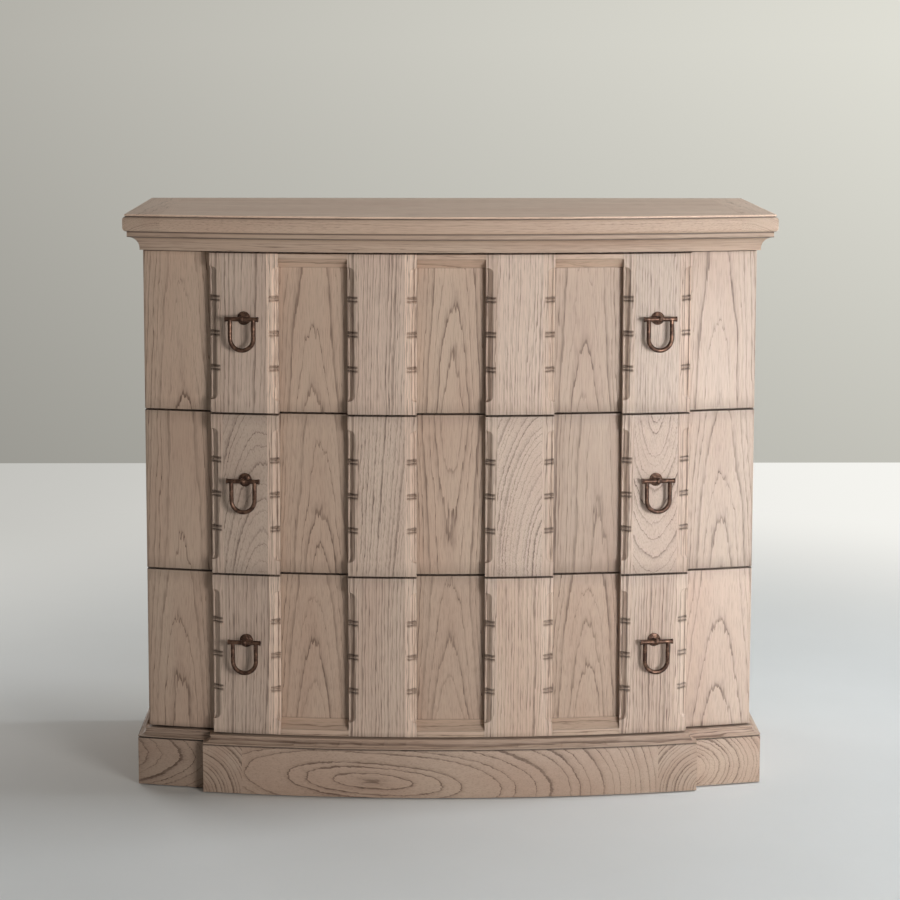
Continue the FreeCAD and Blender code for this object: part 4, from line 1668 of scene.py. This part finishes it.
@dataclass
class Drawer:
    """A drawer: its carved front, its box, and two pulls with their bolts."""

    front: BlockFront
    side_wood: OakFinish
    back_wood: OakFinish

    def build(self, carved: Material) -> None:
        """Makes and dresses the front and the box.

        Args:
            carved: figured oak of the front.
        """
        name = f"{self.front.tier.value}_drawer"
        self.front.dress(self.front.build(), carved)
        Joinery(f"{name} box", (
            (self.side_wood, (f"{name}_side_left", f"{name}_side_right")),
            (self.back_wood, (f"{name}_back", f"{name}_bottom")),
        ), slot=Slot.INNER).build()

    def dress(self, plate: Material, rod: Material, bolt: Material) -> None:
        """Gives the pulls and their bolts their metal.

        Args:
            plate: for the round plates.
            rod: for the bars and the bails.
            bolt: for the bolts.
        """
        repaint(f"{self.front.tier.value}_pull_bolts", bolt)
        for hand in Hand:
            Pull(self.front.tier, hand).dress(plate, rod)


@dataclass(frozen=True)
class Softbox:
    """A soft light that the camera doesn't see.

    power is in watts, and spread is the angle in degrees that its light fans out over.
    """

    name: str
    place: Triple
    target: Triple
    size: Span
    power: float
    spread: float = 180.0
    tint: Triple = (1.0, 1.0, 1.0)

    def hang(self) -> None:
        """Hangs the light so that it faces its target."""
        data = bpy.data.lights.new(self.name, "AREA")
        data.shape = "RECTANGLE"
        data.size, data.size_y = self.size
        data.energy = self.power
        data.spread = math.radians(self.spread)
        data.color = self.tint
        lamp = bpy.data.objects.new(self.name, data)
        lamp.location = self.place
        lamp.rotation_euler = (Vector(self.target) - Vector(self.place)).to_track_quat("-Z", "Y").to_euler()
        lamp.visible_camera = False
        bpy.context.scene.collection.objects.link(lamp)


COOL = (0.90, 1.0, 1.10)
SOFTBOXES = (
    Softbox("key_light", place=(1.4, -2.85, 0.85), target=(0.1, -0.15, 0.85), size=(1.0, 1.0), power=20.0,
            spread=110.0),
    Softbox("right_light", place=(1.5, -2.85, 0.9), target=(0.82, -0.15, 0.5), size=(0.8, 0.8), power=1.9,
            spread=26.0, tint=COOL),
    Softbox("side_light", place=(2.6, 0.1, 2.3), target=(0.4, -0.3, 0.0), size=(1.0, 1.0), power=56.0,
            tint=COOL),
    Softbox("top_light", place=(0.2, 0.6, 3.0), target=(0.1, 0.4, 0.0), size=(2.4, 1.6), power=12.0),
    Softbox("back_light", place=(-2.1, 2.3, 0.8), target=(-0.3, 0.2, 0.45), size=(1.4, 1.2), power=28.0),
)


@dataclass
class Studio:
    """Plain pale floor and backdrop, soft light mostly from the right, and the photograph's camera.

    Angles are in degrees. The floor fades into its far colour between the two distances of fade, and the
    backdrop's shade rises with the height of the view between the two levels of backdrop_dip. The far floor
    and the backdrop carry painted light: darker on the left, lighter on the right, and the backdrop lighter
    upwards.
    """

    eye: Triple = (-0.0672, -4.2716, 1.2345)
    turn: float = 0.923
    tilt: float = 7.14
    roll: float = 0.105
    lens: float = 100.71
    film: float = 36.0
    shift: float = -0.10
    floor_colour: Colour = (228, 227, 223)
    floor_mottle: Colour = (219, 218, 213)
    mottle_waves: Triple = (3.0, 3.0, 3.0)
    floor_roughness: float = 0.75
    plaster_waves: Triple = (60.0, 60.0, 60.0)
    plaster_depth: float = 0.0008
    plaster_share: float = 0.25
    cloud_detail: float = 4.0
    floor_back: float = 3.12
    floor_reach: float = 9.0
    far_left: Colour = (194, 193, 188)
    far_right: Colour = (246, 245, 240)
    far_span: Span = (-1.6, 1.6)
    fade: Span = (0.8, 2.5)
    backdrop_left: Colour = (162, 160, 153)
    backdrop_right: Colour = (210, 209, 200)
    backdrop_span: Span = (-0.2, 0.2)
    backdrop_dip: Span = (-0.17, 0.0)
    backdrop_shade: Span = (0.83, 1.16)
    fill: float = 0.09
    fill_tint: tuple[float, float, float, float] = (1.0, 0.985, 0.965, 1.0)
    softboxes: tuple[Softbox, ...] = SOFTBOXES

    def build(self) -> None:
        """Sets up camera, floor, lights and world."""
        self.camera()
        self.floor()
        for softbox in self.softboxes:
            softbox.hang()
        self.world()
        bpy.context.scene.view_settings.view_transform = "Standard"
        LOG.info("studio: camera, floor, %d softboxes, backdrop", len(self.softboxes))

    def camera(self) -> None:
        """Puts the camera where the photograph was taken from."""
        data = bpy.data.cameras.new("camera")
        data.lens = self.lens
        data.sensor_width = self.film
        data.shift_y = self.shift
        camera = bpy.data.objects.new("camera", data)
        aim = Euler((math.radians(90.0 - self.tilt), 0.0, -math.radians(self.turn))).to_matrix()
        aim = aim @ Matrix.Rotation(math.radians(self.roll), 3, "Z")
        camera.matrix_world = Matrix.Translation(Vector(self.eye)) @ aim.to_4x4()
        bpy.context.scene.collection.objects.link(camera)
        bpy.context.scene.camera = camera

    def floor(self) -> None:
        """Lays a pale floor that ends at the backdrop."""
        reach = self.floor_reach
        back = self.floor_back
        corners = ((-reach, -reach, 0.0), (reach, -reach, 0.0), (reach, back, 0.0), (-reach, back, 0.0))
        mesh = bpy.data.meshes.new("floor")
        mesh.from_pydata(corners, [], [(0, 1, 2, 3)])
        floor = bpy.data.objects.new("floor", mesh)
        bpy.context.scene.collection.objects.link(floor)
        graph = Surface("floor_plaster")
        place = graph.place()
        cloud = graph.noise(place, self.mottle_waves, self.cloud_detail)
        graph.dress("Base Color", graph.mix(cloud, self.floor_mottle, self.floor_colour))
        graph.dress("Roughness", self.floor_roughness)
        plaster = graph.noise(place, self.plaster_waves, self.cloud_detail)
        graph.bump(plaster, self.plaster_depth, self.plaster_share)
        across, deep, _ = graph.separate(place)
        # Painted light: the far floor is darker on the left and lighter on the right.
        far = graph.mix(graph.reach(across, self.far_span), self.far_left, self.far_right)
        graph.veil(graph.reach(graph.distance(across, deep), self.fade), far)
        mesh.materials.append(graph.material)

    def world(self) -> None:
        """Lights the chest evenly from all round, and shows a plain backdrop behind it."""
        world = bpy.data.worlds.new("studio")
        world.use_nodes = True
        graph = Nodes(world.node_tree)
        shaders = []
        for colour, strength in ((self.fill_tint, self.fill), (self.backdrop(graph), 1.0)):
            background = graph.new("ShaderNodeBackground")
            graph.feed(background.inputs["Color"], colour)
            graph.feed(background.inputs["Strength"], strength)
            shaders.append(background.outputs["Background"])
        output = graph.new("ShaderNodeOutputWorld")
        graph.feed(output.inputs["Surface"], graph.cover(graph.seen_plainly(), *shaders))
        bpy.context.scene.world = world

    def backdrop(self, graph: Nodes) -> Socket:
        """Plain grey with painted light: lighter from left to right and upwards.

        Args:
            graph: the world's nodes.

        Returns:
            The colour's output.
        """
        direction = graph.new("ShaderNodeTexCoord").outputs["Generated"]
        across, _, upwards = graph.separate(direction)
        from_left = graph.reach(across, self.backdrop_span, eased=False)
        grey = graph.mix(from_left, self.backdrop_left, self.backdrop_right)
        return graph.scale(grey, graph.reach(upwards, self.backdrop_dip, self.backdrop_shade, eased=False))


TOP_VENEERS = (
    Veneer(Figure.ARCH, peak=0.82, nest=2.3, side=0.006, tone=1.01, contrast=1.0),
    Veneer(Figure.STRAIGHT, ring=0.0070, tone=1.07, strength=0.86),
    Veneer(Figure.ARCH, peak=0.42, nest=1.7, tone=0.98),
    Veneer(Figure.STRAIGHT, ring=0.0047, tone=1.16, strength=0.86, contrast=0.7),
    Veneer(Figure.ARCH, peak=0.62, nest=1.9, side=0.004, tone=0.96),
    Veneer(Figure.STRAIGHT, side=0.03, ring=0.0044, tone=1.18, strength=0.86, contrast=0.6),
    Veneer(Figure.ARCH, peak=0.74, nest=1.4, side=-0.004, tone=0.92, strength=0.94),
    Veneer(Figure.STRAIGHT, ring=0.0048, tone=1.00, strength=0.84, contrast=0.5),
    Veneer(Figure.ARCH, peak=0.82, nest=1.5, side=-0.006, tone=1.01, strength=0.86, contrast=0.7),
)
MIDDLE_VENEERS = (
    Veneer(Figure.ARCH, peak=0.66, nest=1.3, side=0.004, tone=0.94, contrast=1.0),
    Veneer(Figure.SWEEP, side=-0.02, nest=10.0, ring=0.0055, tone=0.91, strength=0.88),
    Veneer(Figure.ARCH, peak=0.60, nest=2.4, side=0.010, tone=0.92),
    Veneer(Figure.SWEEP, side=0.05, nest=6.0, ring=0.0052, tone=1.05, strength=0.88),
    Veneer(Figure.VALLEY, peak=0.30, nest=1.9, tone=0.94),
    Veneer(Figure.SWEEP, side=0.02, nest=17.0, ring=0.0062, tone=1.07, strength=0.86),
    Veneer(Figure.ARCH, peak=0.55, nest=1.2, side=0.022, tone=0.86, strength=0.95),
    Veneer(Figure.VALLEY, peak=0.25, nest=11.0, ring=0.0062, deep=9.5, tone=0.98, strength=0.86,
           contrast=1.0),
    Veneer(Figure.ARCH, peak=0.78, nest=2.4, side=0.004, tone=0.93, strength=0.88, contrast=0.7),
)
BOTTOM_VENEERS = (
    Veneer(Figure.ARCH, peak=0.80, nest=2.4, side=-0.003, tone=0.90),
    Veneer(Figure.STRAIGHT, ring=0.0056, tone=0.97, strength=0.88),
    Veneer(Figure.ARCH, peak=0.72, nest=3.0, side=-0.002, tone=0.90),
    Veneer(Figure.STRAIGHT, side=0.02, ring=0.0050, tone=1.03, strength=0.9),
    Veneer(Figure.ARCH, peak=0.70, nest=2.8, tone=0.87, contrast=1.0),
    Veneer(Figure.STRAIGHT, side=0.01, ring=0.0050, tone=1.13, strength=0.95, contrast=0.62),
    Veneer(Figure.ARCH, peak=0.74, nest=3.0, side=0.002, tone=0.90),
    Veneer(Figure.STRAIGHT, ring=0.0048, tone=1.02, strength=0.9),
    Veneer(Figure.ARCH, peak=0.86, nest=2.2, side=0.004, deep=17.0, tone=1.03, strength=0.9),
)

# Tones of the blocks' right-hand lippings, left to right: mostly a painted highlight on the edges that face
# the light from the right, with some rubbed wear.
TOP_LIT_AND_RUBBED = (1.54, 1.43, 1.20, 1.12)
MIDDLE_LIT_AND_RUBBED = (1.23, 1.26, 1.12, 1.06)
BOTTOM_LIT_AND_RUBBED = (1.33, 1.30, 1.24, 1.10)

# Painted shade along the creases under the slab, under the cornice's fillet and under the plinth's moulding,
# with how far it reaches.
SLAB_JOINT = ((SLAB_FOOT, 0.0016),)
CORNICE_JOINTS = ((SLAB_FOOT, 0.0030), (FILLET_FOOT, 0.0024))
PLINTH_HEAD = {"joints": ((PLINTH_GROOVE, 0.0022),), "moulding": PLINTH_GROOVE}
WING = {"ring": 0.0062, "wander": 0.003, "contrast": 0.95, "faintest": 0.7, "early": 0.009, **PLINTH_HEAD}
INNER_TONES = {"pale": (214, 190, 156), "rosy": (205, 178, 142), "line": (176, 146, 112),
               "pore": (150, 122, 92)}

FIELD_OAK = OakFinish(
    "oak_top_field", Sawing(Axis.X, Axis.Y, Axis.Z, heart_across=-0.2, heart_depth=0.76),
    ring=0.0042, wander=0.003, contrast=0.5, joints=SLAB_JOINT)
BAND_LEFT_OAK = OakFinish(
    "oak_top_left", Sawing(Axis.Y, Axis.X, Axis.Z, heart_across=-0.47, heart_depth=0.83),
    ring=0.004, contrast=0.5, tone=0.92, joints=SLAB_JOINT)
BAND_RIGHT_OAK = OakFinish(
    "oak_top_right", Sawing(Axis.Y, Axis.X, Axis.Z, heart_across=0.47, heart_depth=0.83),
    ring=0.004, contrast=0.5, tone=0.97, joints=SLAB_JOINT)
CORNICE_OAK = OakFinish(
    "oak_cornice", Sawing(Axis.X, Axis.Z, Axis.Y, heart_across=0.86, heart_depth=-0.1, bent=True),
    ring=0.0042, contrast=0.4, tone=0.86, joints=CORNICE_JOINTS)
CORNICE_SIDE_OAK = OakFinish(
    "oak_cornice_side", Sawing(Axis.Y, Axis.Z, Axis.X, heart_across=0.84, heart_depth=0.1, lean=0.02),
    ring=0.0045, contrast=0.4, tone=0.86, joints=CORNICE_JOINTS)
PLINTH_OAK = OakFinish(
    "oak_plinth", PlinthSheets(),
    ring=0.0112, wander=0.0016, contrast=0.95, faintest=0.75, early=0.012, tone=0.82, **PLINTH_HEAD)
# The left wing's low tone is painted shade: it is darker than the right wing because it lies in shade.
WING_LEFT_OAK = OakFinish(
    "oak_wing_left", Sawing(Axis.X, Axis.Z, Axis.Y, heart_across=0.055, heart_depth=-0.465, lean=0.5),
    tone=0.70, **WING)
WING_RIGHT_OAK = OakFinish(
    "oak_wing_right", Sawing(Axis.X, Axis.Z, Axis.Y, heart_across=0.032, heart_depth=0.01, lean=0.5),
    tone=0.89, **WING)
PLINTH_BACK_OAK = OakFinish(
    "oak_plinth_back", Sawing(Axis.X, Axis.Z, Axis.Y, heart_across=0.09, heart_depth=-0.1, lean=0.03),
    wander=0.005)
PLINTH_SIDE_OAK = OakFinish(
    "oak_plinth_side",
    Sawing(Axis.Y, Axis.Z, Axis.X, heart_across=0.03, heart_depth=0.48, lean=0.07, pair=True),
    tone=0.93, **PLINTH_HEAD)
SIDE_OAK = OakFinish(
    "oak_side", Sawing(Axis.Z, Axis.Y, Axis.X, heart_across=0.06, heart_depth=0.40, lean=0.05, pair=True),
    ring=0.0085, wander=0.004, tone=0.98)
RAIL_WOOD = OakFinish(
    "inner_rail", Sawing(Axis.X, Axis.Y, Axis.Z, heart_across=0.5, heart_depth=0.4),
    contrast=0.5, **INNER_TONES)
PANEL_WOOD = OakFinish(
    "inner_panel", Sawing(Axis.Z, Axis.X, Axis.Y, heart_across=0.1, heart_depth=0.2, lean=0.03),
    contrast=0.6, **INNER_TONES)
RUNNER_WOOD = OakFinish(
    "inner_runner", Sawing(Axis.Y, Axis.X, Axis.Z, heart_across=0.7, heart_depth=0.4),
    contrast=0.4, **INNER_TONES)
BOX_SIDE_WOOD = OakFinish(
    "inner_box_side", Sawing(Axis.Y, Axis.Z, Axis.X, heart_across=0.2, heart_depth=0.1, lean=0.02),
    contrast=0.5, **INNER_TONES)
BOX_BACK_WOOD = OakFinish(
    "inner_box_back", Sawing(Axis.X, Axis.Z, Axis.Y, heart_across=0.2, heart_depth=0.0, lean=0.02),
    contrast=0.5, **INNER_TONES)
CARVED_OAK = OakFinish("oak_carved")
GLIDE_FELT = CloudyFinish(
    "glide_felt", dark=(52, 48, 44), light=(78, 73, 68), waves=900.0, detail=4.0, metallic=0.0,
    roughness=0.85, light_roughness=0.1, relief_depth=0.0006, relief_share=0.6)
BOLT_ZINC = CloudyFinish(
    "bolt_zinc", dark=(122, 122, 120), light=(168, 168, 164), waves=300.0, detail=3.0, metallic=1.0,
    roughness=0.3, light_roughness=0.2, relief_depth=0.0002, relief_share=0.3)
PLATE_BRONZE = BronzeFinish("bronze_plate", relief_waves=420.0, relief_depth=0.0011, relief_share=0.8)
ROD_BRONZE = BronzeFinish("bronze_rod")


def main() -> None:
    """Builds the chest's looks from the top down, then the drawers and the studio."""
    logging.basicConfig(level=logging.INFO, format="%(message)s")
    Slab().build(FIELD_OAK, BAND_LEFT_OAK, BAND_RIGHT_OAK)
    Joinery("cornice", (
        (CORNICE_OAK, ("cornice_front",)),
        (CORNICE_SIDE_OAK, ("cornice_left", "cornice_right")),
    ), ease=0.0006).build()
    Joinery("plinth", (
        (PLINTH_OAK, ("plinth_centre",)),
        (PLINTH_BACK_OAK, ("plinth_back",)),
        (WING_LEFT_OAK, ("plinth_wing_left",)),
        (WING_RIGHT_OAK, ("plinth_wing_right",)),
        (PLINTH_SIDE_OAK, ("plinth_side_left", "plinth_side_right")),
    )).build()
    Joinery("case", ((SIDE_OAK, ("side_left", "side_right")),)).build()
    Joinery("inside of the case", (
        (PANEL_WOOD, ("back_panel", "corner_blocks")),
        (RAIL_WOOD, ("case_bottom", "divider_lower", "divider_upper", "top_rail_front", "top_rail_back")),
        (RUNNER_WOOD, ("drawer_runners",)),
    ), slot=Slot.INNER).build()
    repaint("floor_glides", GLIDE_FELT.material())
    carved = CARVED_OAK.material()
    metals = [finish.material() for finish in (PLATE_BRONZE, ROD_BRONZE, BOLT_ZINC)]
    fronts = (
        BlockFront(Tier.BOTTOM, BOTTOM_VENEERS, BOTTOM_LIT_AND_RUBBED, lower_rail=Rail(flat=0.010, bevel=0.0145)),
        BlockFront(Tier.MIDDLE, MIDDLE_VENEERS, MIDDLE_LIT_AND_RUBBED),
        BlockFront(Tier.TOP, TOP_VENEERS, TOP_LIT_AND_RUBBED, upper_rail=Rail(flat=0.008, bevel=0.0155)),
    )
    for front in fronts:
        drawer = Drawer(front, BOX_SIDE_WOOD, BOX_BACK_WOOD)
        drawer.build(carved)
        drawer.dress(*metals)
    Studio().build()


if __name__ == "__main__":
    main()
